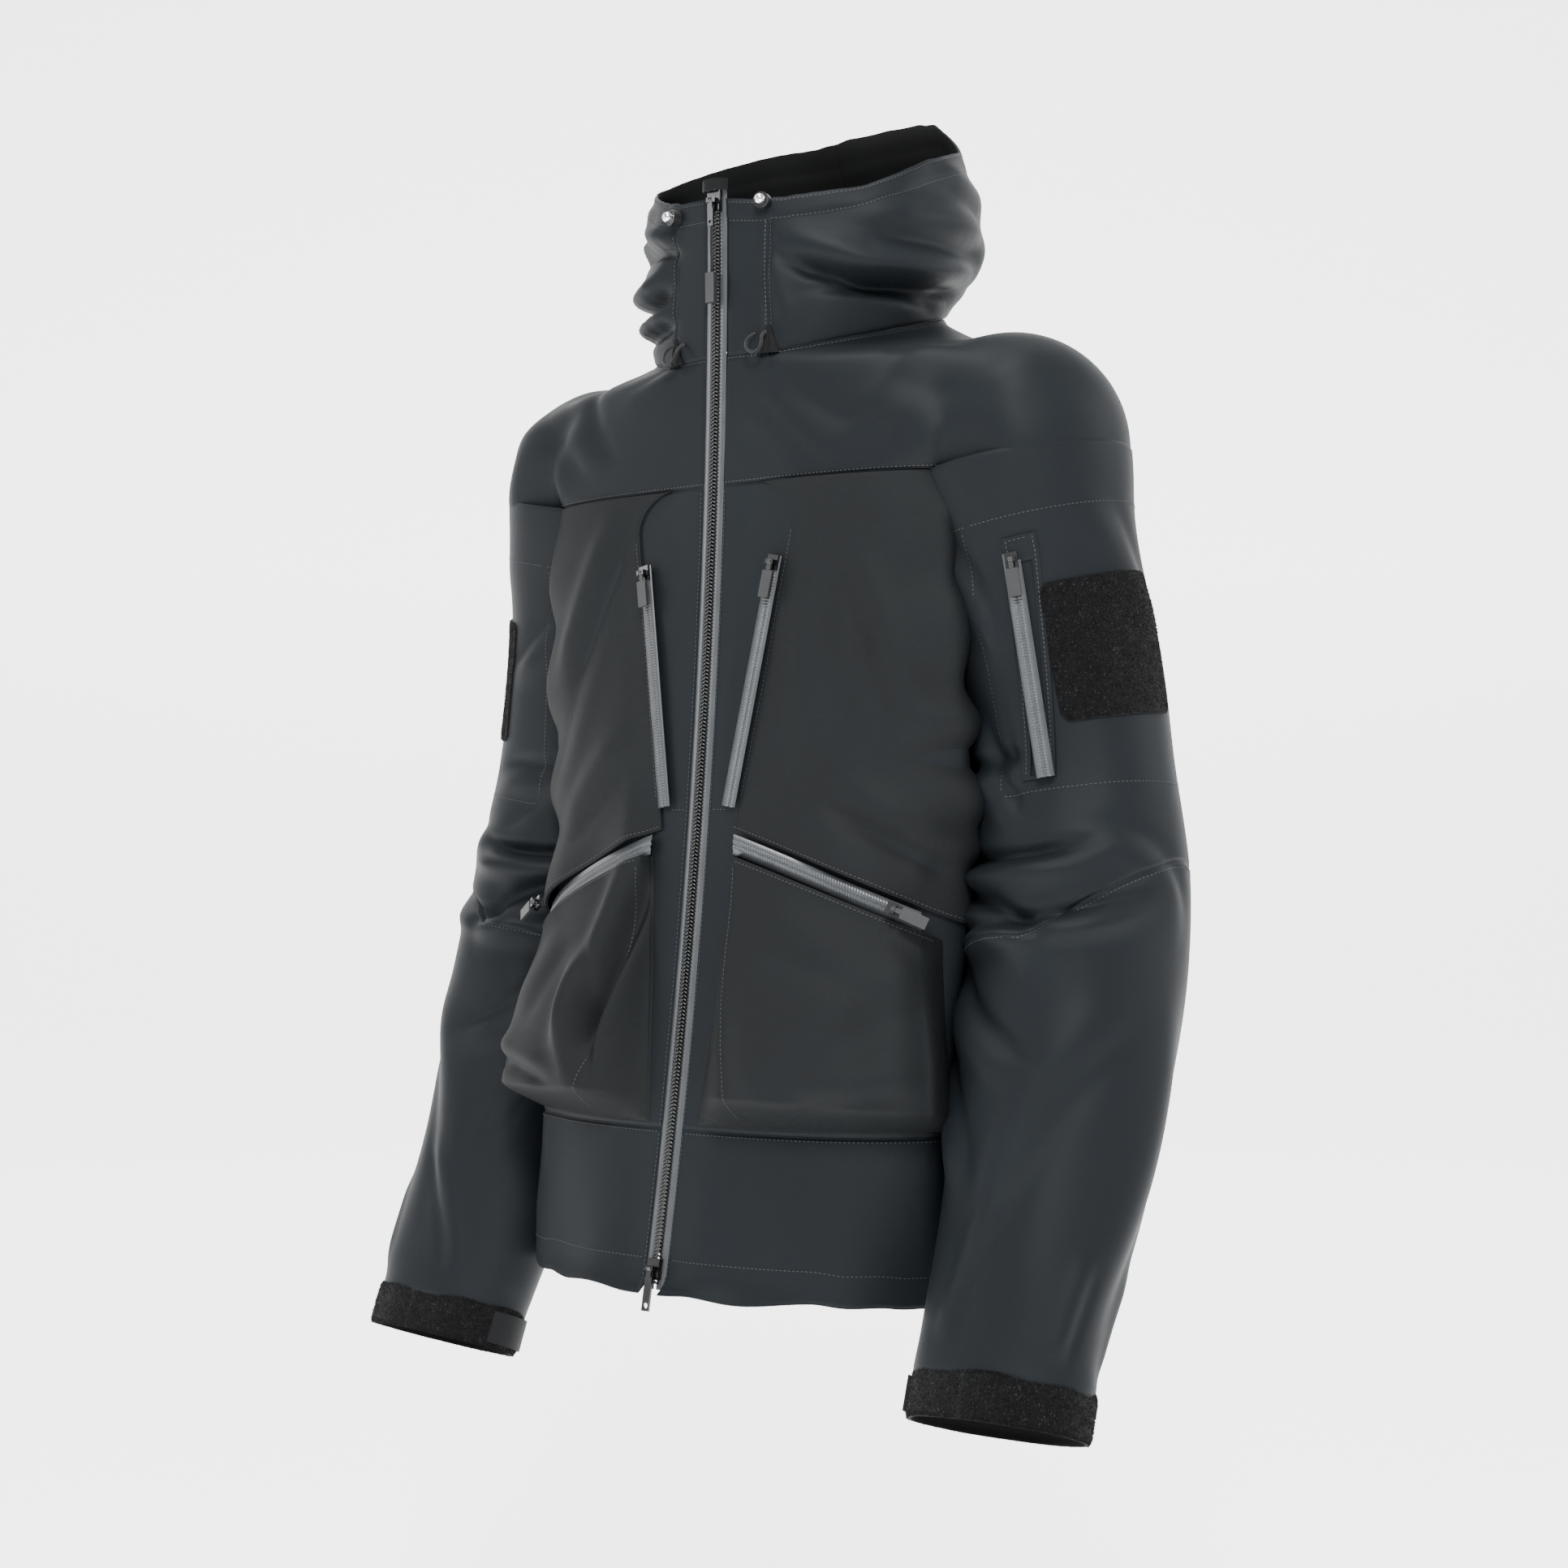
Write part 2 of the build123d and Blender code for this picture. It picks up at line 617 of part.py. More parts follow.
def cord(points, diameter):
    path = FilletPolyline(*points, radius=cord_radii(points))
    start = Plane(origin=path @ 0, z_dir=path % 0)
    return sweep(start * Circle(diameter / 2), path=path)


def pull_cord_points():
    """The main pull's cord: down from the slider's pull into the moulded end."""
    plane = main_zip_plane(UPPER_SLIDER_Z)
    y = -(MAIN.lift + PLATE + PIN_HIGH)
    z = -MAIN.length / 2 - MAIN.pull_length
    local = [(0, y, z), (0.6, y - 0.8, z - 9), (-0.4, y - 0.4, z - 18), (0.3, y, z - 26), (0, y, z - 34)]
    return [plane.from_local_coords(point) for point in local]


def pull_end():
    """The moulded grip on the end of the main pull's cord."""
    plane = main_zip_plane(UPPER_SLIDER_Z)
    y = -(MAIN.lift + PLATE + PIN_HIGH)
    z = -MAIN.length / 2 - MAIN.pull_length - 34
    return plane.location * block(-4.0, 4.0, y - 2.2, y + 2.2, z - 22, z)


# ---------------------------------------------------------------- the whole jacket
def pieces():
    shapes = {}

    def pair(name, shape):
        shapes[f"{name}_left"] = shape
        shapes[f"{name}_right"] = mirrored(shape)

    panels = torso_panels(torso_shell())
    for name in ("front_panel", "side_panel", "yoke", "hem_band"):
        pair(name, panels[name])
    shapes["back_panel"] = panels["back_half"] + mirrored(panels["back_half"])
    shapes["hem_band_back"] = panels["hem_back_half"] + mirrored(panels["hem_back_half"])
    pair("chest_pocket", chest_pocket())
    pair("cargo_pocket", cargo_pocket())

    hood = collar_and_hood()
    pair("collar", hood["collar"])
    pair("hood_side", hood["hood_side"])
    shapes["hood_middle"] = hood["hood_middle"]
    shapes["hanger_loop"] = hanger_loop()

    pair("upper_sleeve", upper_sleeve())
    pair("lower_sleeve", lower_sleeve())
    pair("cuff_band", cuff_band())
    pair("cuff_tab", cuff_tab())
    pair("loop_patch", loop_patch())

    pair("zip_tape", zip_ring(TEETH_HALF + 0.2, ZIP_SLOT - 0.2, 0.0, 1.5, 0, ZIP_TOP))
    shapes["zip_teeth"] = zip_ring(-TEETH_HALF, TEETH_HALF, TEETH_PROUD, 3.0, 3, ZIP_TOP - 1)
    top, foot = main_zip_plane(UPPER_SLIDER_Z), main_zip_plane(LOWER_SLIDER_Z)
    shapes["main_slider_upper"] = slider(top, MAIN)
    shapes["main_pull_upper"] = pull(top, MAIN)
    shapes["main_pull_cord"] = cord(pull_cord_points(), CORD_DIAMETER)
    shapes["main_pull_end"] = pull_end()
    shapes["main_slider_lower"] = slider(foot, FOOT)
    shapes["main_pull_lower"] = pull(foot, FOOT)

    plane, length = chest_zip()
    pair("chest_zip_tape", tape_strip(plane, length, 11.0))
    pair("chest_slider", slider(plane, COIL))
    pair("chest_pull", pull(plane, COIL))
    pair("hand_zip_tape", hand_zip_tape())
    pair("hand_slider", slider(hand_slider_plane(), COIL))
    pair("hand_pull", pull(hand_slider_plane(), COIL))
    plane, length = sleeve_zip()
    shapes["sleeve_zip_tape"] = tape_strip(plane, length, 13.0)
    shapes["sleeve_slider"] = slider(plane, COIL)
    shapes["sleeve_pull"] = pull(plane, COIL)

    pair("cord_lock", cord_lock())
    pair("cord_button", cord_button())
    pair("hood_cord", cord(cord_points(), CORD_DIAMETER))
    return shapes


def save(name, shape):
    """Write one piece, moved so that the hanger loop is the origin."""
    export_step(Pos(*(HANGER * -1)) * shape, f"parts/{name}.step")


def main():
    os.makedirs("parts", exist_ok=True)
    for name, shape in pieces().items():
        save(name, shape)


if __name__ == "__main__":
    main()
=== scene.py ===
"""Looks for the hooded hardshell jacket: cloth panels, seams, zips and trim round the fixed frame."""
import json
import math
import random

import bpy
import numpy as np
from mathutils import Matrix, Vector
from mathutils.bvhtree import BVHTree


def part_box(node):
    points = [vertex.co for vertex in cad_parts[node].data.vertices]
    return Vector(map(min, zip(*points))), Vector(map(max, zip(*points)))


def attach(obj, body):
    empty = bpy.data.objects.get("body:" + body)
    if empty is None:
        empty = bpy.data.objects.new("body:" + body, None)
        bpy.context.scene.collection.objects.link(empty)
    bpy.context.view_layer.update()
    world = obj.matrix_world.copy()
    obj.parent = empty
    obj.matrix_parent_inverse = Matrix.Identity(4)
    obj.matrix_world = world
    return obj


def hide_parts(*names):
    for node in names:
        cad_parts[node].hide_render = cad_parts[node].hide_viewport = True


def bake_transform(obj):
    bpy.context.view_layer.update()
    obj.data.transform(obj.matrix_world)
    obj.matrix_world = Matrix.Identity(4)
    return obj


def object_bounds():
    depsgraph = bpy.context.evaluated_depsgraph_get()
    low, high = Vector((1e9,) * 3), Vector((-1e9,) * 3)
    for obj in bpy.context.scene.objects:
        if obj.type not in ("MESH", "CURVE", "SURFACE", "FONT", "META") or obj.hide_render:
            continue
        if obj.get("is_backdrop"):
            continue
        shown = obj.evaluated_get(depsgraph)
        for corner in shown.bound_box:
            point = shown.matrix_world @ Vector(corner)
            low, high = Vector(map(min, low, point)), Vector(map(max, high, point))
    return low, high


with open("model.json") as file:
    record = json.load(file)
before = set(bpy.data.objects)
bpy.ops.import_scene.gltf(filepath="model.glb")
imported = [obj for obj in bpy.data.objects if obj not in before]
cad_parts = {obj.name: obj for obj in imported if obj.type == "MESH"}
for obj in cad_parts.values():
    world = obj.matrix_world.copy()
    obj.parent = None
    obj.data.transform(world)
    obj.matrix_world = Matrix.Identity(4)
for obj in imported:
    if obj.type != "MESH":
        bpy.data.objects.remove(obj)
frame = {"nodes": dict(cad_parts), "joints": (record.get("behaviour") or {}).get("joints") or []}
CAD_BOX = [list(corner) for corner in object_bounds()]
NODES = frame["nodes"]
JOINTS = {joint["name"]: joint for joint in frame["joints"]}

# ---------------------------------------------------------------- places read from the frame
SHOULDER = np.array(JOINTS["shoulder_left"]["pos_m"])
ELBOW = np.array(JOINTS["elbow_left"]["pos_m"])
AXIS_Y = SHOULDER[1]
HEM_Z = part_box("zip_tape_left")[0].z
HEM_SEAM_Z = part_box("front_panel_left")[0].z
CHEST_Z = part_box("yoke_left")[0].z
ZIP_TOP_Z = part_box("zip_tape_left")[1].z
SLOT_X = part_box("front_panel_left")[0].x


def unit(v):
    return v / np.linalg.norm(v, axis=-1, keepdims=True)


def run_along(line):
    """How far along a line of points each of them lies."""
    return np.concatenate([[0], np.cumsum(np.linalg.norm(np.diff(line, axis=0), axis=1))])


def between(grid, a, b):
    """A grid's values at fractional places of its first two indices."""
    i, j = a.astype(int), b.astype(int)
    p, q = a - i, b - j
    if grid.ndim > 2:
        p, q = p[..., None], q[..., None]
    return (
        grid[i, j] * (1 - p) * (1 - q) + grid[i + 1, j] * p * (1 - q)
        + grid[i, j + 1] * (1 - p) * q + grid[i + 1, j + 1] * p * q
    )


def quads_of(index):
    """The four-cornered faces of a grid of vertex numbers."""
    a, b, c, d = index[:-1, :-1], index[1:, :-1], index[1:, 1:], index[:-1, 1:]
    return np.stack([a, d, c, b], -1).reshape(-1, 4)


def node_points(name):
    co = np.zeros(len(NODES[name].data.vertices) * 3)
    NODES[name].data.vertices.foreach_get("co", co)
    return co.reshape(-1, 3)


BAND = node_points("cuff_band_left")
CUFF_MIDDLE = (BAND.min(0) + BAND.max(0)) / 2
FOREARM = unit(CUFF_MIDDLE - ELBOW)
BAND_DOWN = (BAND - ELBOW) @ FOREARM
CUFF_START, CUFF_END = BAND_DOWN.min(), BAND_DOWN.max()
UPPER_ARM = unit(ELBOW - SHOULDER)
UPPER_LENGTH = np.linalg.norm(ELBOW - SHOULDER)


# ---------------------------------------------------------------- camera, light and stage
AZIMUTH = math.radians(37.0)
CAMERA_AWAY = 1.900
CAMERA_HIGH = 0.3145            # above the front hem
LENS_PER_WIDTH = 3057.0 / 1932.0
SHIFT_X, SHIFT_Y = -0.0088, 0.0409
SENSOR = 36.0


def make_camera():
    data = bpy.data.cameras.new("camera")
    data.sensor_width = SENSOR
    data.lens = LENS_PER_WIDTH * SENSOR
    data.shift_x, data.shift_y = SHIFT_X, SHIFT_Y
    data.clip_end = 50
    camera = bpy.data.objects.new("camera", data)
    camera.location = (
        CAMERA_AWAY * math.sin(AZIMUTH),
        AXIS_Y - 0.005 - CAMERA_AWAY * math.cos(AZIMUTH),
        HEM_Z + CAMERA_HIGH,
    )
    camera.rotation_euler = (math.pi / 2, 0, AZIMUTH)
    bpy.context.scene.collection.objects.link(camera)
    bpy.context.scene.camera = camera


def area_light(name, place, target, size, power):
    data = bpy.data.lights.new(name, "AREA")
    data.shape = "DISK"
    data.size = size
    data.energy = power
    light = bpy.data.objects.new(name, data)
    light.location = place
    aim = Vector(target) - Vector(place)
    light.rotation_euler = aim.to_track_quat("-Z", "Y").to_euler()
    bpy.context.scene.collection.objects.link(light)


def make_lights():
    middle = (0, AXIS_Y, HEM_Z + 0.4)
    area_light("key", (1.6, -2.2, 1.9), middle, 0.9, 155)
    area_light("fill", (-2.4, -2.2, 0.7), middle, 1.6, 35)
    area_light("rim", (2.2, 1.8, 1.0), middle, 1.2, 45)
    area_light("top", (-0.2, -0.6, 2.6), middle, 1.2, 70)
    world = bpy.data.worlds.new("studio")
    world.use_nodes = True
    background = world.node_tree.nodes["Background"]
    background.inputs["Color"].default_value = (1.0, 1.0, 1.0, 1)
    background.inputs["Strength"].default_value = 0.80
    bpy.context.scene.world = world


def make_stage():
    """A pale floor that curves up into a pale wall behind."""
    half, near, far, high, bend = 6.0, -6.0, 5.0, 6.0, 1.5
    low = CAD_BOX[0][2] - 0.35
    profile = [(near, low)]
    for k in range(13):
        turn = math.pi / 2 * k / 12
        profile.append((far - bend + bend * math.sin(turn), low + bend - bend * math.cos(turn)))
    profile.append((far, low + high))
    verts = [(x, y, z) for x in (-half, half) for y, z in profile]
    n = len(profile)
    faces = [(k, k + 1, n + k + 1, n + k) for k in range(n - 1)]
    mesh = bpy.data.meshes.new("floor")
    mesh.from_pydata(verts, [], faces)
    floor = bpy.data.objects.new("floor", mesh)
    turn = bpy.context.scene.camera.rotation_euler[2]
    floor.rotation_euler = (0, 0, turn)
    bpy.context.scene.collection.objects.link(floor)
    for polygon in mesh.polygons:
        polygon.use_smooth = True
    paint = plain("floor_paint", (0.95, 0.95, 0.95), 0.9)
    shader = paint.node_tree.nodes["Principled BSDF"]
    shader.inputs["Emission Color"].default_value = (1, 1, 1, 1)
    shader.inputs["Emission Strength"].default_value = 2.2
    mesh.materials.append(paint)
    floor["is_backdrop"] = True


# ---------------------------------------------------------------- materials
def plain(name, color, roughness, metallic=0.0):
    material = bpy.data.materials.new(name)
    material.use_nodes = True
    shader = material.node_tree.nodes["Principled BSDF"]
    shader.inputs["Base Color"].default_value = (*color, 1)
    shader.inputs["Roughness"].default_value = roughness
    shader.inputs["Metallic"].default_value = metallic
    return material


class Nodes:
    """Short calls for wiring one material's nodes."""

    def __init__(self, material):
        self.tree = material.node_tree
        self.shader = self.tree.nodes["Principled BSDF"]

    def add(self, kind, **values):
        node = self.tree.nodes.new(kind)
        for name, value in values.items():
            if hasattr(node, name):
                setattr(node, name, value)
            else:
                node.inputs[name.replace("_", " ").title()].default_value = value
        return node

    def link(self, out, to):
        self.tree.links.new(out, to)

    def ramp(self, value, stops):
        node = self.tree.nodes.new("ShaderNodeValToRGB")
        ramp = node.color_ramp
        while len(ramp.elements) < len(stops):
            ramp.elements.new(0.5)
        for element, (place, color) in zip(ramp.elements, stops):
            element.position = place
            element.color = (*color, 1)
        self.link(value, node.inputs["Fac"])
        return node.outputs["Color"]

    def coordinates(self, kind="Object", scale=(1, 1, 1)):
        coord = self.tree.nodes.new("ShaderNodeTexCoord")
        mapping = self.tree.nodes.new("ShaderNodeMapping")
        mapping.inputs["Scale"].default_value = scale
        self.link(coord.outputs[kind], mapping.inputs["Vector"])
        return mapping.outputs["Vector"]

    def noise(self, vector, scale, detail=2.0, rough=0.5):
        node = self.tree.nodes.new("ShaderNodeTexNoise")
        node.inputs["Scale"].default_value = scale
        node.inputs["Detail"].default_value = detail
        node.inputs["Roughness"].default_value = rough
        self.link(vector, node.inputs["Vector"])
        return node.outputs["Fac"]

    def wave(self, vector, scale, direction="X"):
        node = self.tree.nodes.new("ShaderNodeTexWave")
        node.bands_direction = direction
        node.inputs["Scale"].default_value = scale
        self.link(vector, node.inputs["Vector"])
        return node.outputs["Fac"]

    def math(self, how, a, b):
        node = self.tree.nodes.new("ShaderNodeMath")
        node.operation = how
        for socket, value in zip(node.inputs, (a, b)):
            if isinstance(value, (int, float)):
                socket.default_value = value
            else:
                self.link(value, socket)
        return node.outputs["Value"]

    def bump(self, height, strength, distance):
        node = self.tree.nodes.new("ShaderNodeBump")
        node.inputs["Strength"].default_value = strength
        node.inputs["Distance"].default_value = distance
        self.link(height, node.inputs["Height"])
        self.link(node.outputs["Normal"], self.shader.inputs["Normal"])


def tint(color, factor):
    return tuple(min(1.0, c * factor) for c in color)


def woven(name, color, roughness, thread, contrast, relief, sheen):
    """Plain woven cloth: thread is the spacing of its yarns in metres."""
    material = plain(name, color, roughness)
    nodes = Nodes(material)
    cloth = nodes.coordinates("UV")
    body = nodes.coordinates("Object")
    warp = nodes.wave(cloth, 1 / thread / 6.2832 * 3.1416, "X")
    weft = nodes.wave(cloth, 1 / thread / 6.2832 * 3.1416, "Y")
    weave = nodes.math("MULTIPLY", warp, weft)
    slow = nodes.noise(body, 9.0, 3.0)
    fine = nodes.noise(body, 900.0, 2.0)
    mixed = nodes.math("ADD", nodes.math("MULTIPLY", slow, 0.7), nodes.math("MULTIPLY", fine, 0.3))
    woven_share = nodes.math("MULTIPLY", weave, contrast)
    mixed = nodes.math("ADD", nodes.math("MULTIPLY", mixed, 1 - contrast), woven_share)
    shades = [(0.25, tint(color, 0.82)), (0.75, tint(color, 1.2))]
    nodes.link(nodes.ramp(mixed, shades), nodes.shader.inputs["Base Color"])
    height = nodes.math("ADD", weave, nodes.math("MULTIPLY", fine, 0.8))
    nodes.bump(height, relief, 0.0004)
    nodes.shader.inputs["Sheen Weight"].default_value = sheen
    nodes.shader.inputs["Sheen Roughness"].default_value = 0.45
    nodes.shader.inputs["Specular IOR Level"].default_value = 0.13
    return material


def fuzzy(name, color, light):
    """Loop fastener: dark pile with pale specks."""
    material = plain(name, color, 0.95)
    nodes = Nodes(material)
    body = nodes.coordinates("Object")
    specks = nodes.noise(body, 700.0, 3.0, 0.7)
    stops = [(0.45, color), (0.62, tint(color, 2.2)), (0.75, light)]
    nodes.link(nodes.ramp(specks, stops), nodes.shader.inputs["Base Color"])
    nodes.bump(specks, 0.9, 0.001)
    nodes.shader.inputs["Sheen Weight"].default_value = 0.04
    nodes.shader.inputs["Specular IOR Level"].default_value = 0.1
    return material


def moulded(name, color, roughness, relief=0.15, metallic=0.0):
    material = plain(name, color, roughness, metallic)
    nodes = Nodes(material)
    body = nodes.coordinates("Object")
    grain = nodes.noise(body, 1500.0, 2.0)
    patches = nodes.noise(body, 60.0, 2.0)
    shades = [(0.3, tint(color, 0.88)), (0.7, tint(color, 1.12))]
    nodes.link(nodes.ramp(patches, shades), nodes.shader.inputs["Base Color"])
    nodes.bump(grain, relief, 0.0003)
    return material


def make_materials():
    return {
        "shell": woven("shell_cloth", (0.0045, 0.0062, 0.0080), 0.58, 0.0007, 0.12, 0.10, 0.0),
        "pocket": woven("pocket_cloth", (0.0054, 0.0065, 0.0074), 0.66, 0.0016, 0.35, 0.30, 0.0),
        "lining": woven("lining_cloth", (0.0035, 0.0038, 0.0042), 0.75, 0.0010, 0.20, 0.15, 0.01),
        "thread": moulded("sewing_thread", (0.010, 0.012, 0.014), 0.6),
        "fuzz": fuzzy("loop_pile", (0.0030, 0.0031, 0.0034), (0.060, 0.060, 0.063)),
        "tape": moulded("coated_tape", (0.040, 0.044, 0.048), 0.30, 0.1),
        "teeth": moulded("zip_teeth", (0.010, 0.0105, 0.011), 0.20, 0.05),
        "metal": moulded("dark_nickel", (0.07, 0.07, 0.073), 0.25, 0.05, 1.0),
        "grip": moulded("pull_rubber", (0.013, 0.014, 0.015), 0.5, 0.3),
        "webbing": woven("tab_webbing", (0.005, 0.0055, 0.006), 0.7, 0.0018, 0.4, 0.4, 0.03),
        "lock": moulded("lock_plastic", (0.005, 0.0055, 0.006), 0.4),
        "button": moulded("button_metal", (0.80, 0.80, 0.80), 0.18, 0.03, 1.0),
        "cord": woven("cord_braid", (0.010, 0.011, 0.012), 0.7, 0.0009, 0.5, 0.6, 0.1),
    }


# ---------------------------------------------------------------- surfaces of the frame, seen from an axis
def tree_of(names):
    verts, faces = [], []
    for name in names:
        mesh = NODES[name].data
        start = len(verts)
        verts.extend(v.co.copy() for v in mesh.vertices)
        faces.extend([start + k for k in p.vertices] for p in mesh.polygons)
    return BVHTree.FromPolygons(verts, faces)


def smoothed(values, sigma, axis, mirror_ends=True):
    """A Gaussian blur along one axis, with sigma in samples."""
    if sigma <= 0:
        return values
    reach = int(math.ceil(sigma * 3))
    kernel = np.exp(-0.5 * (np.arange(-reach, reach + 1) / sigma) ** 2)
    kernel /= kernel.sum()
    pad = [(0, 0)] * values.ndim
    pad[axis] = (reach, reach)
    padded = np.pad(values, pad, mode="reflect" if mirror_ends else "edge")
    return np.apply_along_axis(lambda row: np.convolve(row, kernel, "valid"), axis, padded)


class Skin:
    """The outer surface of some nodes, as a radius round the torso's axis for each turn and height.

    Turn 0 is the centre front, 90 degrees the wearer's left and 180 the centre back. The right
    side is its mirror image.
    """

    def __init__(self, names, low, high, turn_step=1.0, z_step=0.003, blur=(1.0, 3.0)):
        tree = tree_of(names)
        self.turns = np.radians(np.arange(0, 180.01, turn_step))
        self.heights = np.arange(low, high + z_step, z_step)
        grid = np.full((len(self.turns), len(self.heights)), np.nan)
        for i, turn in enumerate(self.turns):
            way = Vector((math.sin(turn), -math.cos(turn), 0))
            for j, z in enumerate(self.heights):
                start = Vector((0, AXIS_Y, z)) + way * 0.6
                hit = tree.ray_cast(start, -way, 0.58)[0]
                if hit is not None:
                    grid[i, j] = (hit - Vector((0, AXIS_Y, z))).length
        self.seen = ~np.isnan(grid)
        for j in range(len(self.heights)):
            known = np.flatnonzero(self.seen[:, j])
            if len(known) > 0.6 * len(self.turns):
                grid[:, j] = np.interp(np.arange(len(self.turns)), known, grid[known, j])
        for i in range(len(self.turns)):
            known = np.flatnonzero(~np.isnan(grid[i]))
            if len(known):
                grid[i] = np.interp(np.arange(grid.shape[1]), known, grid[i, known])
        grid = smoothed(grid, blur[1], 1)
        self.radius = smoothed(grid, blur[0], 0)

    def edge(self, top):
        """The height of the nodes' upper or lower edge at each turn."""
        found = np.full(len(self.turns), np.nan)
        for k, row in enumerate(self.seen):
            known = np.flatnonzero(row)
            if len(known):
                found[k] = self.heights[known[-1] if top else known[0]]
        known = np.flatnonzero(~np.isnan(found))
        return smoothed(np.interp(np.arange(len(found)), known, found[known]), 2.0, 0)

    def radius_at(self, turn, z):
        count = len(self.turns)
        a = np.clip(np.interp(np.abs(turn), self.turns, np.arange(count)), 0, count - 1.001)
        b = np.clip((z - self.heights[0]) / (self.heights[1] - self.heights[0]), 0, len(self.heights) - 1.001)
        return between(self.radius, a, b)

    def point(self, turn, z, out=0.0):
        """Points of the skin, moved out along its radius; a negative turn is the wearer's right."""
        r = self.radius_at(turn, z) + out
        return np.stack([r * np.sin(turn), AXIS_Y - r * np.cos(turn), z], -1)

    def below(self, turn, down):
        """Points of the skin by turn and by distance down from the frame's origin."""
        return self.point(turn, -down)

    def turn_at(self, x, z):
        """The turn where the front of the skin is at this x."""
        x, z = np.broadcast_arrays(np.asarray(x, float), np.asarray(z, float))
        turn = np.abs(x) / 0.15
        for _ in range(12):
            r = self.radius_at(turn, z)
            turn = turn - (r * np.sin(turn) - np.abs(x)) / (r * np.maximum(np.cos(turn), 0.3))
            turn = np.clip(turn, 0, math.radians(100))
        return turn


# ---------------------------------------------------------------- folds
def smoothstep(t):
    t = np.clip(t, 0, 1)
    return t * t * (3 - 2 * t)


def fold(points_a, points_b, start, end, width, depth, crease=0.6, bend=0.0):
    """A soft ridge with a crease beside it, along a line between two places of a surface.

    The surface is given by two coordinates in metres; width is the ridge's half width and
    bend is how far the line's middle bows to one side.
    """
    ax, ay = start
    bx, by = end
    length = math.hypot(bx - ax, by - ay)
    ux, uy = (bx - ax) / length, (by - ay) / length
    along = ((points_a - ax) * ux + (points_b - ay) * uy) / length
    across = -(points_a - ax) * uy + (points_b - ay) * ux
    across = across - bend * 4 * along * (1 - along)
    fade = smoothstep(np.minimum(along + 0.15, 1.15 - along) / 0.4)
    ridge = np.exp(-((across / width) ** 2))
    valley = np.exp(-(((across + 1.5 * width) / (0.55 * width)) ** 2))
    return depth * fade * (ridge - crease * valley)


def random_folds(points_a, points_b, seed, count, area, length, width, depth, slant):
    """Several folds of uneven size, scattered over a rectangle of the surface."""
    rng = random.Random(seed)
    height = np.zeros_like(points_a)
    (a0, a1), (b0, b1) = area
    for _ in range(count):
        a, b = rng.uniform(a0, a1), rng.uniform(b0, b1)
        angle = math.radians(rng.uniform(*slant))
        reach = rng.uniform(*length) / 2
        da, db = reach * math.cos(angle), reach * math.sin(angle)
        height += fold(
            points_a, points_b, (a - da, b - db), (a + da, b + db),
            rng.uniform(*width), rng.uniform(*depth), rng.uniform(0.2, 0.7), rng.uniform(-0.2, 0.2) * reach,
        )
    return height


# ---------------------------------------------------------------- mesh building
def grid_normals(points, closed=False):
    """Unit normals of a grid; rows run along the first index and columns along the second."""
    if closed:
        along = np.roll(points, -1, 0) - np.roll(points, 1, 0)
    else:
        along = np.gradient(points, axis=0)
    across = np.gradient(points, axis=1)
    normals = np.cross(across, along)
    size = np.linalg.norm(normals, axis=-1, keepdims=True)
    return normals / np.maximum(size, 1e-12)


def edge_distance(points, closed=False):
    """The distance along the grid's lines to its nearest border."""
    steps = np.linalg.norm(np.diff(points, axis=1), axis=-1)
    down = np.concatenate([np.zeros((len(points), 1)), np.cumsum(steps, 1)], 1)
    distance = np.minimum(down, down[:, -1:] - down)
    if not closed:
        steps = np.linalg.norm(np.diff(points, axis=0), axis=-1)
        over = np.concatenate([np.zeros((1, points.shape[1])), np.cumsum(steps, 0)], 0)
        distance = np.minimum(distance, np.minimum(over, over[-1:] - over))
    return distance


def spaced(length, step, fine=True):
    """Shares from 0 to 1 about `step` apart, closer together beside both ends."""
    inner = np.linspace(0, 1, max(3, int(length / step) + 1))
    if not fine:
        return inner
    close = np.array([0.0007, 0.0016, 0.0028]) / length
    values = np.concatenate([inner, close, 1 - close])
    values = np.unique(np.round(values, 6))
    return values


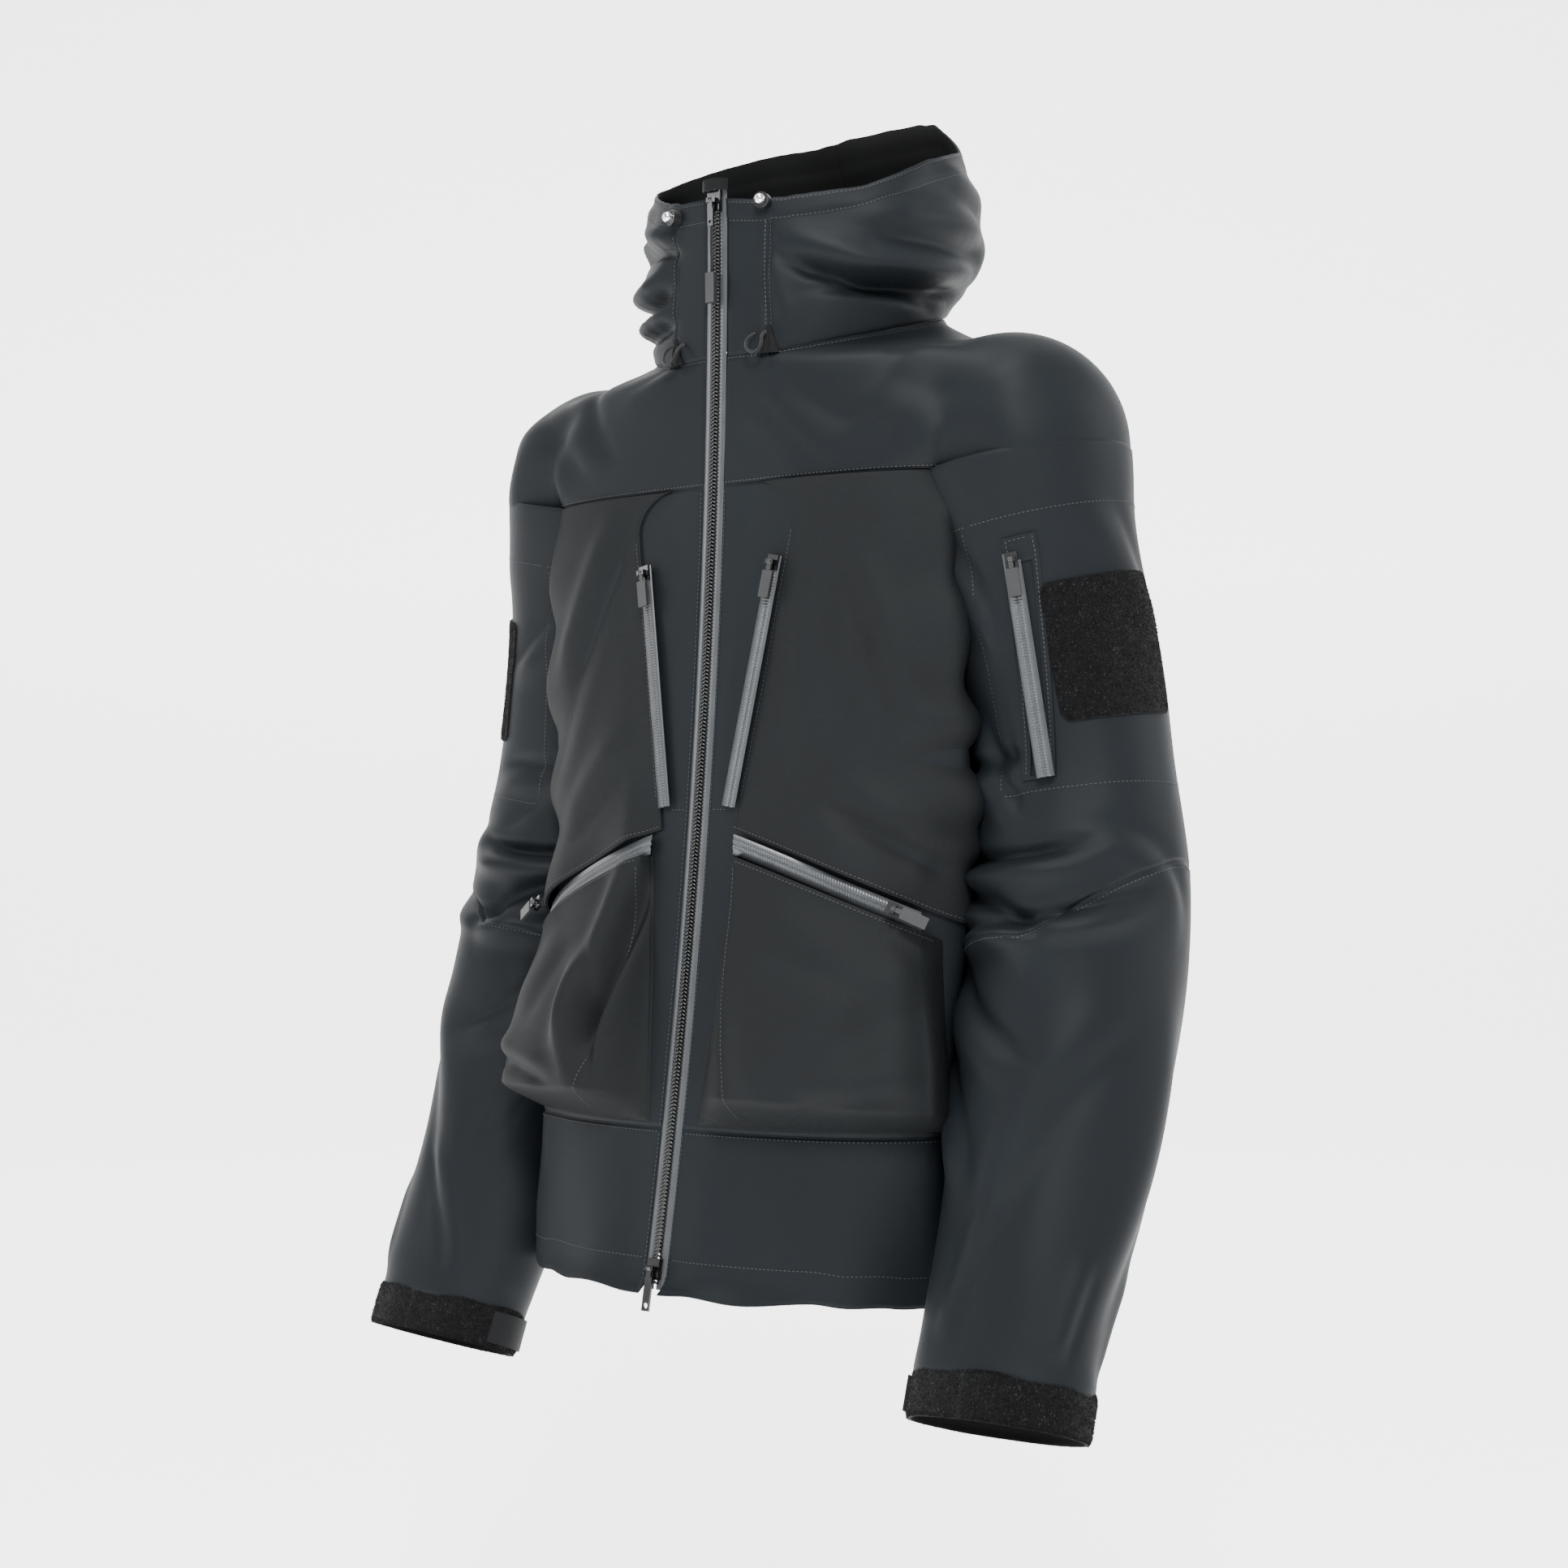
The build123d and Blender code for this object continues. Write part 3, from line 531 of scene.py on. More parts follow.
class Build:
    """Collects one piece's faces, then makes its object."""

    def __init__(self, name):
        self.name = name
        self.verts, self.faces, self.slots, self.uvs = [], [], [], []
        self.materials = []
        self.count = 0

    def material(self, material):
        if material not in self.materials:
            self.materials.append(material)
        return self.materials.index(material)

    def add(self, verts, faces, material, uvs=None):
        verts = np.asarray(verts, float).reshape(-1, 3)
        faces = np.asarray(faces, int)
        self.verts.append(verts)
        self.faces.extend((faces + self.count).tolist())
        self.slots.extend([self.material(material)] * len(faces))
        self.uvs.append(np.zeros((len(verts), 2)) if uvs is None else np.asarray(uvs).reshape(-1, 2))
        self.count += len(verts)

    def cloth(self, points, thick, outside, inside, closed=False, roll=0.0012, roll_width=0.003):
        """A sheet of cloth with its edges turned in, given by the grid of its outer face."""
        normals = grid_normals(points, closed)
        distance = edge_distance(points, closed)
        outer = points - normals * (roll * (1 - smoothstep(distance / roll_width)))[..., None]
        inner = points - normals * (thick + roll)
        m, n = points.shape[:2]
        over_steps = np.linalg.norm(np.diff(points, axis=0), axis=-1)
        down_steps = np.linalg.norm(np.diff(points, axis=1), axis=-1)
        over = np.concatenate([np.zeros((1, n)), np.cumsum(over_steps, 0)])
        down = np.concatenate([np.zeros((m, 1)), np.cumsum(down_steps, 1)], 1)
        uvs = np.stack([over.mean(1, keepdims=True) + 0 * over, down], -1)
        index = np.arange(m * n).reshape(m, n)
        if closed:
            index = np.concatenate([index, index[:1]], 0)
        quads = quads_of(index)
        self.add(outer, quads, outside, uvs)
        base = self.count
        self.add(inner, quads[:, ::-1], inside, uvs)
        borders = [index[:, 0][::-1], index[:, -1]]
        if not closed:
            borders += [index[0, :], index[-1, :][::-1]]
        rims = []
        for line in borders:
            a, b = line[:-1], line[1:]
            rims.append(np.stack([a, b, b + m * n, a + m * n], -1))
        self.faces.extend((np.concatenate(rims) + base - m * n).tolist())
        self.slots.extend([self.material(outside)] * sum(len(r) for r in rims))
        return outer, normals

    def stitches(self, line, normals, material, pitch=0.0032, length=0.0021, wide=0.00034, sink=0.0):
        """A row of stitches along a line that lies on the cloth."""
        line = np.asarray(line)
        run = run_along(line)
        places = np.arange(pitch, run[-1] - pitch, pitch)
        if not len(places):
            return
        at = np.stack([np.interp(places, run, line[:, k]) for k in range(3)], -1)
        ahead = np.stack([np.interp(places + 0.0005, run, line[:, k]) for k in range(3)], -1)
        up = unit(np.stack([np.interp(places, run, normals[:, k]) for k in range(3)], -1))
        along = unit(ahead - at)
        side = np.cross(up, along)
        shape = [(-0.5, 0, 0), (-0.3, 1, 0.9), (-0.3, -1, 0.9), (0.3, 1, 0.9), (0.3, -1, 0.9), (0.5, 0, 0)]
        corners = []
        for forward, across, high in shape:
            corners.append(
                at + along * (forward * length) + side * (across * wide) + up * (high * wide * 1.3 - sink)
            )
        verts = np.stack(corners, 1)
        quads = np.array([(1, 2, 4, 3)])
        triangles = np.array([(0, 2, 1), (3, 4, 5)])
        start = np.arange(len(at))[:, None, None] * len(shape)
        self.add(verts, (quads[None] + start).reshape(-1, 4), material)
        self.count -= len(verts.reshape(-1, 3))
        self.faces.extend((triangles[None] + start + self.count).reshape(-1, 3).tolist())
        self.slots.extend([self.material(material)] * (len(at) * len(triangles)))
        self.count += len(verts.reshape(-1, 3))

    def finish(self, slot=None, body=None, blend=None, replaces=()):
        verts = np.concatenate(self.verts)
        mesh = bpy.data.meshes.new(self.name)
        mesh.from_pydata(verts.tolist(), [], self.faces)
        for material in self.materials:
            mesh.materials.append(material)
        mesh.polygons.foreach_set("material_index", self.slots)
        mesh.polygons.foreach_set("use_smooth", [True] * len(mesh.polygons))
        layer = mesh.uv_layers.new(name="UVMap")
        loops = np.zeros(len(mesh.loops), int)
        mesh.loops.foreach_get("vertex_index", loops)
        layer.data.foreach_set("uv", np.concatenate(self.uvs)[loops].ravel())
        mesh.update()
        piece = bpy.data.objects.new(self.name, mesh)
        bpy.context.scene.collection.objects.link(piece)
        if blend:
            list(blend[:2])
            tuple(blend[2])
            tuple(blend[3])
            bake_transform(piece)
        else:
            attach(piece, body)
        if replaces:
            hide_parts(*replaces)
        return piece


def sides():
    return (("left", 1.0), ("right", -1.0))


# ---------------------------------------------------------------- torso, yoke and hood skins
TORSO = Skin(
    ["front_panel_left", "side_panel_left", "back_panel", "hem_band_left", "hem_band_back"],
    HEM_Z - 0.03, CHEST_Z, blur=(1.5, 2.0),
)
TORSO_LOW = TORSO.edge(top=False)
HOOD = Skin(
    ["collar_left", "hood_side_left", "hood_middle"],
    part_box("collar_left")[0].z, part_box("hood_middle")[1].z, blur=(2.0, 3.0),
)
HOOD_LOW = HOOD.edge(top=False)
HOOD_TOP = HOOD.edge(top=True)
# How far the worn rim sags or stands off the level line: degrees from the front, and metres.
RIM_SAG = {
    1.0: ((0, 30, 60, 90, 125, 150, 180), (0, -0.008, -0.016, -0.012, -0.018, 0.003, 0.007)),
    -1.0: ((0, 30, 60, 90, 125, 150, 180), (0, 0.003, 0.009, 0.009, 0.008, 0.003, 0.007)),
}
HOOD_RIM = {sign: HOOD_TOP + np.interp(np.degrees(HOOD.turns), *RIM_SAG[sign]) for sign in RIM_SAG}
YOKE_ROWS = 61


class Shoulders:
    """The yoke and the sleeve heads as rows from the neck seam down to the chest seam.

    Points are found along rays from a middle point at the chest seam's height, then spread
    evenly along each turn's profile.
    """

    def __init__(self):
        tree = tree_of(["yoke_left", "upper_sleeve_left"])
        middle = Vector((0, AXIS_Y, CHEST_Z))
        self.turns = np.radians(np.arange(0, 181.0, 1.5))
        profiles = []
        for turn in self.turns:
            flat = Vector((math.sin(turn), -math.cos(turn), 0))
            neck_z = np.interp(turn, HOOD.turns, HOOD_LOW)
            neck_r = HOOD.radius_at(turn, neck_z)
            top = math.atan2(neck_z - CHEST_Z, neck_r)
            line = []
            for elevation in np.linspace(0.004, top, 60):
                way = flat * math.cos(elevation) + Vector((0, 0, math.sin(elevation)))
                hit = tree.ray_cast(middle + way * 0.6, -way, 0.58)[0]
                if hit is not None:
                    line.append(((hit - middle).xy.length, hit.z))
            if not line:
                profiles.append(None)
                continue
            line[-1] = (neck_r, neck_z)
            line[0] = (line[0][0], CHEST_Z)
            line = np.array(line[::-1])
            run = run_along(line)
            even = np.linspace(0, run[-1], YOKE_ROWS)
            profiles.append(np.stack([np.interp(even, run, line[:, k]) for k in (0, 1)], -1))
        known = [k for k, p in enumerate(profiles) if p is not None]
        for k in range(len(profiles)):
            if profiles[k] is None:
                profiles[k] = profiles[min(known, key=lambda other: abs(other - k))]
        grid = np.stack(profiles)
        grid = smoothed(grid, 1.5, 0)
        inner = smoothed(grid, 3.0, 1)
        share = np.linspace(0, 1, YOKE_ROWS)
        keep = smoothstep(np.minimum(share, 1 - share) / 0.12)[None, :, None]
        grid = grid * (1 - keep) + inner * keep
        deep = smoothstep((share - 0.40) / 0.5)[None]
        for turn, depth, width in ((68, 0.022, 3.0), (116, 0.012, 4.0)):
            away = (np.degrees(self.turns) - turn)[:, None] / width
            grid[:, :, 0] -= depth * deep * np.exp(-(away**2))
        self.grid = grid

    def point(self, turn, share):
        """Points at a share from 0 at the neck seam to 1 at the chest seam."""
        a = np.clip(np.abs(turn) / (self.turns[1] - self.turns[0]), 0, len(self.turns) - 1.001)
        b = np.clip(share * (YOKE_ROWS - 1), 0, YOKE_ROWS - 1.001)
        rz = between(self.grid, a, b)
        return np.stack([rz[..., 0] * np.sin(turn), AXIS_Y - rz[..., 0] * np.cos(turn), rz[..., 1]], -1)


SHOULDERS = Shoulders()

# ---------------------------------------------------------------- where the panels end
SIDE_SEAM_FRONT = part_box("side_panel_left")[0].y
SIDE_SEAM_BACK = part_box("side_panel_left")[1].y
HOOD_SEAM_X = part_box("hood_middle")[1].x
FRONT_EDGE_X = SLOT_X + 0.0006
FRONT_STITCH_X = FRONT_EDGE_X + 0.0022
HEM_TURN_UP = 0.022             # from the hem's edge to its row of stitches


def turn_at_y(skin, y, z):
    """The turn where the skin's side is at this y."""
    z = np.asarray(z, float)
    best = np.full(z.shape, math.pi / 2)
    for _ in range(10):
        r = skin.radius_at(best, z)
        best = np.arccos(np.clip((AXIS_Y - y) / r, -1, 1))
    return best


def grid_of(turn_low, turn_high, z_low, z_high, shares_across, shares_down):
    """Turns and heights of a panel between two edge turns and two edge heights.

    The edge turns are functions of height; the edge heights are functions of turn.
    """
    across, down = np.meshgrid(shares_across, shares_down, indexing="ij")
    turn = np.full_like(across, 0.8)
    z = np.zeros_like(across)
    for _ in range(4):
        high, low = z_high(turn), z_low(turn)
        z = high + (low - high) * down
        turn = turn_low(z) + (turn_high(z) - turn_low(z)) * across
    return turn, z


def level(value):
    return lambda turn: np.full_like(turn, value)


def by_turn(skin, line):
    return lambda turn: np.interp(np.abs(turn), skin.turns, line)


def at_x(x):
    return lambda z: TORSO.turn_at(x, z)


def at_y(y):
    return lambda z: turn_at_y(TORSO, y, z)


def with_normals(point, u, v, du, dv):
    """Points of a surface and its outward normals; point takes two coordinates, the second downwards."""
    along = point(u + du, v) - point(u - du, v)
    down = point(u, v + dv) - point(u, v - dv)
    return point(u, v), unit(np.cross(down, along))


class Surface:
    """Cloth lying over a skin: the skin's points raised along its normals by a relief."""

    def __init__(self, skin_point, relief, steps, sign):
        self.skin_point, self.relief, self.steps, self.sign = skin_point, relief, steps, sign

    def point(self, u, v, out=0.0):
        """Points by the skin's two coordinates, raised by the relief and by `out`."""
        flat, normals = with_normals(self.skin_point, u, v, *self.steps)
        raised = flat + normals * (self.relief(u, v, self.sign) + out)[..., None]
        return raised * np.array([self.sign, 1.0, 1.0])

    def line(self, u, v, out=0.0):
        """Points along a line, with their normals."""
        u, v = np.asarray(u, float), np.asarray(v, float)

        def raised(a, b):
            return self.point(a, b, out)

        points, normals = with_normals(raised, u, v, *self.steps)
        return points, normals * self.sign


# ---------------------------------------------------------------- torso panels
def torso_relief(turn, z, sign):
    """The soft unevenness of the body's cloth, in metres, by turn and height."""
    a = turn * 0.20
    h = z - HEM_Z
    relief = random_folds(a, h, 11 + int(sign), 9, ((0.10, 0.60), (0.02, 0.50)), (0.10, 0.25),
                          (0.008, 0.018), (0.0012, 0.003), (60, 120))
    relief += random_folds(a, h, 31 + int(sign), 8, ((0.30, 0.62), (0.15, 0.50)), (0.10, 0.22),
                           (0.008, 0.016), (0.002, 0.004), (20, 70))
    hem = smoothstep((0.11 - h) / 0.11)
    relief += hem * 0.004 * np.sin(a * 46 + sign) * smoothstep(a / 0.08)
    relief += 0.0015 * np.sin(a * 25 + 0.8 * sign) * np.sin(h * 16 + 1.3)
    return relief * calm(TORSO.radius_at(turn, z) * np.sin(turn), z)


def calm(x, z):
    """0 beside the front's zips, where the cloth lies flat, and 1 away from them."""
    low, high = CHEST_FOOT, CHEST_HEAD
    line_x = low[0] + (high[0] - low[0]) * np.clip((z - low[2]) / (high[2] - low[2]), 0, 1)
    past = np.maximum(np.maximum(low[2] - z, z - high[2]), 0)
    from_chest = np.hypot(x - line_x, past)
    from_hand = np.hypot(z - hand_z(x), np.maximum(x - HAND_X[-1], 0))
    nearest = np.minimum(np.minimum(from_chest, from_hand), np.abs(x))
    return smoothstep((nearest - 0.006) / 0.035)


def in_order(points, sign):
    """A grid's rows, turned round on the right side so that its faces still look outwards."""
    return points if sign > 0 else points[::-1]


def body_surface(sign):
    def relief(turn, down, side):
        return torso_relief(turn, -down, side)

    return Surface(TORSO.below, relief, (0.012, 0.003), sign)


BODY = {sign: body_surface(sign) for sign in (1.0, -1.0)}


def on_body(sign, turn, z, out=0.0):
    return BODY[sign].point(turn, -z, out)


def seam_stitches(build, surface, u, v, material, out=0.0):
    points, normals = surface.line(u, v, out)
    build.stitches(points, normals, material)


def body_panel(name, sign, turn_low, turn_high, z_low, z_high, material, lining, size):
    wide, tall = size
    turn, z = grid_of(turn_low, turn_high, z_low, z_high, spaced(wide, 0.004), spaced(tall, 0.004))
    build = Build(name)
    build.cloth(in_order(on_body(sign, turn, z), sign), 0.0011, material, lining)
    return build


def panel_seams(name, side_back):
    """Turns and heights along the rows of stitches on one of the left panels."""
    if name == "hem_band":
        zs = np.linspace(HEM_Z + 0.003, HEM_SEAM_Z, 60)
        turns = np.linspace(0.07, side_back(np.array(HEM_SEAM_Z)), 240)
        low = np.interp(turns, TORSO.turns, TORSO_LOW)
        return [
            (TORSO.turn_at(FRONT_STITCH_X, zs), zs),
            (turns, low + HEM_TURN_UP),
            (turns, np.full(240, HEM_SEAM_Z - 0.0028)),
        ]
    if name == "front_panel":
        zs = np.linspace(HEM_SEAM_Z, CHEST_Z, 200)
        turns = np.linspace(0.09, TORSO.turn_at(CHEST_FOOT[0], CHEST_FOOT[2]), 30)
        return [(TORSO.turn_at(FRONT_STITCH_X, zs), zs), (turns, np.full(30, CHEST_FOOT[2] - 0.002))]
    return []


def make_torso(mats):
    shell, lining = mats["shell"], mats["lining"]
    side_front, side_back = at_y(SIDE_SEAM_FRONT), at_y(SIDE_SEAM_BACK)
    hem_edge = by_turn(TORSO, TORSO_LOW)
    for side, sign in sides():
        panels = [
            ("front_panel", at_x(FRONT_EDGE_X), side_front, level(HEM_SEAM_Z), level(CHEST_Z), (0.25, 0.47)),
            ("side_panel", side_front, side_back, level(HEM_SEAM_Z), level(CHEST_Z), (0.12, 0.47)),
            ("hem_band", at_x(FRONT_EDGE_X), side_back, hem_edge, level(HEM_SEAM_Z), (0.36, 0.12)),
        ]
        for name, left, right, low, high, size in panels:
            build = body_panel(f"{name}_cloth_{side}", sign, left, right, low, high, shell, lining, size)
            for turns, zs in panel_seams(name, side_back):
                seam_stitches(build, BODY[sign], turns, -zs, mats["thread"])
            build.finish("shell_fabric", "torso", replaces=[f"{name}_{side}"])
    for name, low, high, size in (
        ("back_panel", level(HEM_SEAM_Z), level(CHEST_Z), (0.40, 0.47)),
        ("hem_band_back", hem_edge, level(HEM_SEAM_Z), (0.40, 0.12)),
    ):
        across, down = spaced(size[0], 0.004), spaced(size[1], 0.004)
        turn, z = back_grid(side_back, low, high, across * 2 - 1, down)
        points = both_sides(BODY, turn, -z)
        build = Build(f"{name}_cloth")
        build.cloth(points, 0.0011, shell, lining)
        build.finish("shell_fabric", "torso", replaces=[name])


def back_grid(edge, low, high, half_across, down):
    """Turns and heights across the back: from the left side's edge through 180 degrees to the right's.

    A turn past 180 degrees is given as its negative, mirrored turn.
    """
    share, down = np.meshgrid(half_across, down, indexing="ij")
    away = np.abs(share)
    turn = np.full_like(share, 2.5)
    for _ in range(4):
        top, bottom = high(turn), low(turn)
        z = top + (bottom - top) * down
        turn = math.pi - (math.pi - edge(z)) * away
    turn = np.where(share > 0, -turn, turn)
    return turn, z


def both_sides(surfaces, turn, v):
    """Points across the centre back, eased from one side's folds to the other's."""
    left = surfaces[1.0].point(np.abs(turn), v)
    right = surfaces[-1.0].point(np.abs(turn), v)
    flip = np.array([-1.0, 1.0, 1.0])
    share = 0.5 + 0.5 * np.sign(turn) * smoothstep((math.pi - np.abs(turn)) / 0.35)
    mine, other = left, right * flip
    mixed = mine * share[..., None] + other * (1 - share[..., None])
    return np.where((turn < 0)[..., None], mixed * flip, mixed)


# ---------------------------------------------------------------- yoke
def yoke_relief(turn, share, sign):
    a = turn * 0.22
    b = share * 0.20
    relief = random_folds(a, b, 5 + int(sign), 4, ((0.08, 0.30), (0.03, 0.18)), (0.10, 0.20),
                          (0.016, 0.026), (0.001, 0.002), (30, 60))
    relief += fold(a, b, (0.20, 0.165), (0.275, 0.06), 0.020, 0.0045, 0.5, 0.010)
    relief += fold(a, b, (0.225, 0.19), (0.31, 0.12), 0.016, 0.0035, 0.4)
    relief *= smoothstep((1.02 - share) / 0.06)
    return relief


YOKE = {sign: Surface(SHOULDERS.point, yoke_relief, (0.012, 0.012), sign) for sign in (1.0, -1.0)}


def make_yoke(mats):
    for side, sign in sides():
        across = spaced(0.62, 0.004)
        down = spaced(0.20, 0.004)
        share, row = np.meshgrid(across, down, indexing="ij")
        turn0 = np.arcsin(FRONT_EDGE_X / (0.105 + 0.02 * row))
        turn = turn0 + (math.pi - turn0) * share
        points = in_order(YOKE[sign].point(turn, row), sign)
        build = Build(f"yoke_cloth_{side}")
        build.cloth(points, 0.0011, mats["shell"], mats["lining"])
        around = np.linspace(0.08, math.pi - 0.005, 300)
        for row in (0.9855, 0.016):
            seam_stitches(build, YOKE[sign], around, np.full(300, row), mats["thread"])
        ends = [(sign * x, AXIS_Y, SHOULDER[2]) for x in (0.140, 0.235)]
        blend = ("torso", f"upper_sleeve_{side}", *ends)
        build.finish("shell_fabric", blend=blend, replaces=[f"yoke_{side}"])


# ---------------------------------------------------------------- hood
HOOD_JOINT = JOINTS["hood_fold"]
HOOD_HINGE = np.array(HOOD_JOINT["pos_m"])
HOOD_UP = unit(np.array([0, ZIP_TOP_Z - HOOD_HINGE[2], HOOD_HINGE[1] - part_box("zip_tape_left")[1].y - 0.0]))


# Folds of the hood on the wearer's left and right: degrees round from the front and share of the
# height from the neck seam to the rim at both ends, half width, depth, crease and bow.
HOOD_FOLDS = {
    1: [
        (36, 0.70, 116, 0.26, 0.013, 0.0130, 1.1, -0.012),
        (60, 0.86, 128, 0.50, 0.014, 0.0060, 0.6, -0.010),
        (44, 0.46, 100, 0.12, 0.010, 0.0060, 0.8, 0.006),
        (96, 0.92, 140, 0.64, 0.012, 0.0045, 0.5, 0.0),
        (118, 0.30, 165, 0.42, 0.012, 0.0060, 0.6, 0.008),
        (24, 0.60, 32, 0.16, 0.009, 0.0025, 0.5, 0.0),
    ],
    -1: [
        (24, 0.80, 74, 0.62, 0.010, 0.0080, 1.1, 0.008),
        (30, 0.56, 82, 0.36, 0.010, 0.0100, 1.2, -0.008),
        (26, 0.34, 70, 0.18, 0.009, 0.0070, 1.0, 0.0),
        (50, 0.86, 104, 0.70, 0.011, 0.0070, 0.8, 0.006),
        (76, 0.50, 128, 0.30, 0.013, 0.0080, 0.8, -0.010),
        (120, 0.60, 168, 0.48, 0.012, 0.0050, 0.5, 0.0),
    ],
}
CHANNEL_X = (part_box("cord_button_left")[0].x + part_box("cord_button_left")[1].x) / 2


def channel_turn(z):
    """The turn of the cord's channel, which runs straight down the hood's front."""
    return np.arcsin(np.clip(CHANNEL_X / HOOD.radius_at(np.full_like(z, 0.35), z), 0, 0.9))


def hood_relief(turn, z, sign):
    around = turn * 0.125
    low = np.interp(np.abs(turn), HOOD.turns, HOOD_LOW)
    high = np.interp(np.abs(turn), HOOD.turns, HOOD_RIM[sign])
    tall = 0.14
    share = (z - low) / (high - low)
    deg = math.radians
    relief = 0.0012 * np.sin(turn * 9 + sign) * np.sin(share * 7)
    for turn_a, share_a, turn_b, share_b, width, depth, crease, bow in HOOD_FOLDS[int(sign)]:
        relief += fold(
            around, share * tall,
            (deg(turn_a) * 0.125, share_a * tall), (deg(turn_b) * 0.125, share_b * tall),
            width, depth, crease, bow,
        )
    relief *= smoothstep(share / 0.14) * smoothstep((turn - deg(10)) / deg(22))
    channel = (turn - channel_turn(z)) * 0.11
    relief -= 0.0016 * np.exp(-((channel / 0.0016) ** 2)) * smoothstep((0.93 - share) / 0.05)
    brim = smoothstep((share - 0.86) / 0.03)
    relief += 0.0012 * brim
    return relief


def hood_surface(sign):
    return Surface(HOOD.below, lambda turn, down, side: hood_relief(turn, -down, side), (0.02, 0.003), sign)


HOODS = {sign: hood_surface(sign) for sign in (1.0, -1.0)}


def make_hood(mats):
    blend = (
        "torso", "hood",
        tuple(HOOD_HINGE - HOOD_UP * 0.010), tuple(HOOD_HINGE + HOOD_UP * 0.070),
    )
    def side_low(z):
        return np.arcsin(FRONT_EDGE_X / HOOD.radius_at(np.zeros_like(z), z))

    def side_high(z):
        return math.pi - np.arcsin(np.clip(HOOD_SEAM_X / HOOD.radius_at(np.full_like(z, 2.8), z), 0, 1))

    low = by_turn(HOOD, HOOD_LOW)
    for side, sign in sides():
        high = by_turn(HOOD, HOOD_RIM[sign])
        turn, z = grid_of(side_low, side_high, low, high, spaced(0.34, 0.003), spaced(0.15, 0.003))
        points = HOODS[sign].point(turn, -z)
        build = Build(f"hood_side_cloth_{side}")
        build.cloth(in_order(points, sign), 0.0014, mats["shell"], mats["lining"])
        around = np.linspace(0.09, math.pi - 0.42, 260)
        rim, foot = high(around), low(around)
        seam_stitches(build, HOODS[sign], around, -(rim - (rim - foot) * 0.14), mats["thread"])
        seam_stitches(build, HOODS[sign], around, -(rim - 0.003), mats["thread"])
        zs = np.linspace(HOOD_LOW[15] + 0.018, HOOD_TOP[15] - 0.018, 60)
        for beside in (-0.02, 0.02):
            seam_stitches(build, HOODS[sign], channel_turn(zs) + beside, -zs, mats["thread"])
        build.finish("shell_fabric", blend=blend, replaces=[f"hood_side_{side}", f"collar_{side}"])
    turn, z = back_grid(side_high, low, high, spaced(0.1, 0.003) * 2 - 1, spaced(0.15, 0.003))
    points = both_sides(HOODS, turn, -z)
    build = Build("hood_middle_cloth")
    build.cloth(points, 0.0011, mats["shell"], mats["lining"])
    build.finish("shell_fabric", blend=blend, replaces=["hood_middle"])


# ---------------------------------------------------------------- sleeves
SLEEVE_TURNS = 144
CUFF_TOP = ELBOW + FOREARM * CUFF_START
ARM_HALF = 0.0745               # half the width of the upper arm's cloth
ZIP_ROUND = 0.0735              # its radius under the sleeve zip
# Down the sleeve from the shoulder's centre: distance, half width and half depth of its section.
SLEEVE_SIZES = [
    (-0.030, 0.0855, 0.0850),
    (0.018, 0.0855, 0.0845),
    (0.055, 0.0800, 0.0775),
    (0.100, ARM_HALF, 0.0715),
    (0.240, ARM_HALF, 0.0715),
    (0.310, 0.079, 0.080),
    (0.380, 0.076, 0.080),
    (0.480, 0.073, 0.072),
    (0.600, 0.068, 0.056),
    (0.665, 0.0655, 0.047),
]


class Sleeve:
    """The left sleeve's skin by angle round it and distance down from the shoulder's centre.

    Angle 0 is straight ahead, 90 degrees is outwards and 270 faces the body.
    """

    def __init__(self):
        lower = np.linalg.norm(CUFF_TOP - ELBOW)
        t = np.linspace(0, 1, 60)[:, None]
        middle_way = unit(UPPER_ARM + FOREARM)

        def piece(a, b, way_a, way_b, length):
            h00, h10 = 2 * t**3 - 3 * t**2 + 1, t**3 - 2 * t**2 + t
            h01, h11 = -2 * t**3 + 3 * t**2, t**3 - t**2
            return h00 * a + h10 * way_a * length + h01 * b + h11 * way_b * length

        upper = piece(SHOULDER, ELBOW, UPPER_ARM, middle_way, UPPER_LENGTH)
        fore = piece(ELBOW, CUFF_TOP, middle_way, unit(FOREARM + np.array([0, -0.10, 0])), lower)
        line = np.concatenate([
            [SHOULDER - UPPER_ARM * 0.06], upper[:-1], fore, [CUFF_TOP + FOREARM * 0.01],
        ])
        run = run_along(line) - 0.06
        self.down = np.arange(-0.055, run[-1], 0.002)
        self.line = np.stack([np.interp(self.down, run, line[:, k]) for k in range(3)], -1)
        self.line = smoothed(self.line, 4.0, 0, mirror_ends=False)
        self.end = run[-1] - 0.01
        tangent = unit(np.gradient(self.line, axis=0))
        out = np.array([1.0, 0, 0]) - tangent * tangent[:, :1]
        self.out = unit(out)
        self.front = np.cross(self.out, tangent)
        if self.front[0, 1] > 0:
            self.front = -self.front
        sizes = np.array(SLEEVE_SIZES)
        self.wide = smoothed(np.interp(self.down, sizes[:, 0], sizes[:, 1]), 8.0, 0, mirror_ends=False)
        self.deep = smoothed(np.interp(self.down, sizes[:, 0], sizes[:, 2]), 8.0, 0, mirror_ends=False)
        self.elbow_down = UPPER_LENGTH

    def at(self, values, down):
        flat = np.clip((down - self.down[0]) / 0.002, 0, len(self.down) - 1.001)
        k = flat.astype(int)
        p = flat - k
        if values.ndim > 1:
            p = p[..., None]
        return values[k] * (1 - p) + values[k + 1] * p

    def point(self, angle, down, out=0.0):
        wide, deep = self.at(self.wide, down) + out, self.at(self.deep, down) + out
        centre = self.at(self.line, down)
        across, ahead = self.at(self.out, down), self.at(self.front, down)
        return centre + across * (wide * np.sin(angle))[..., None] + ahead * (deep * np.cos(angle))[..., None]


SLEEVE = Sleeve()


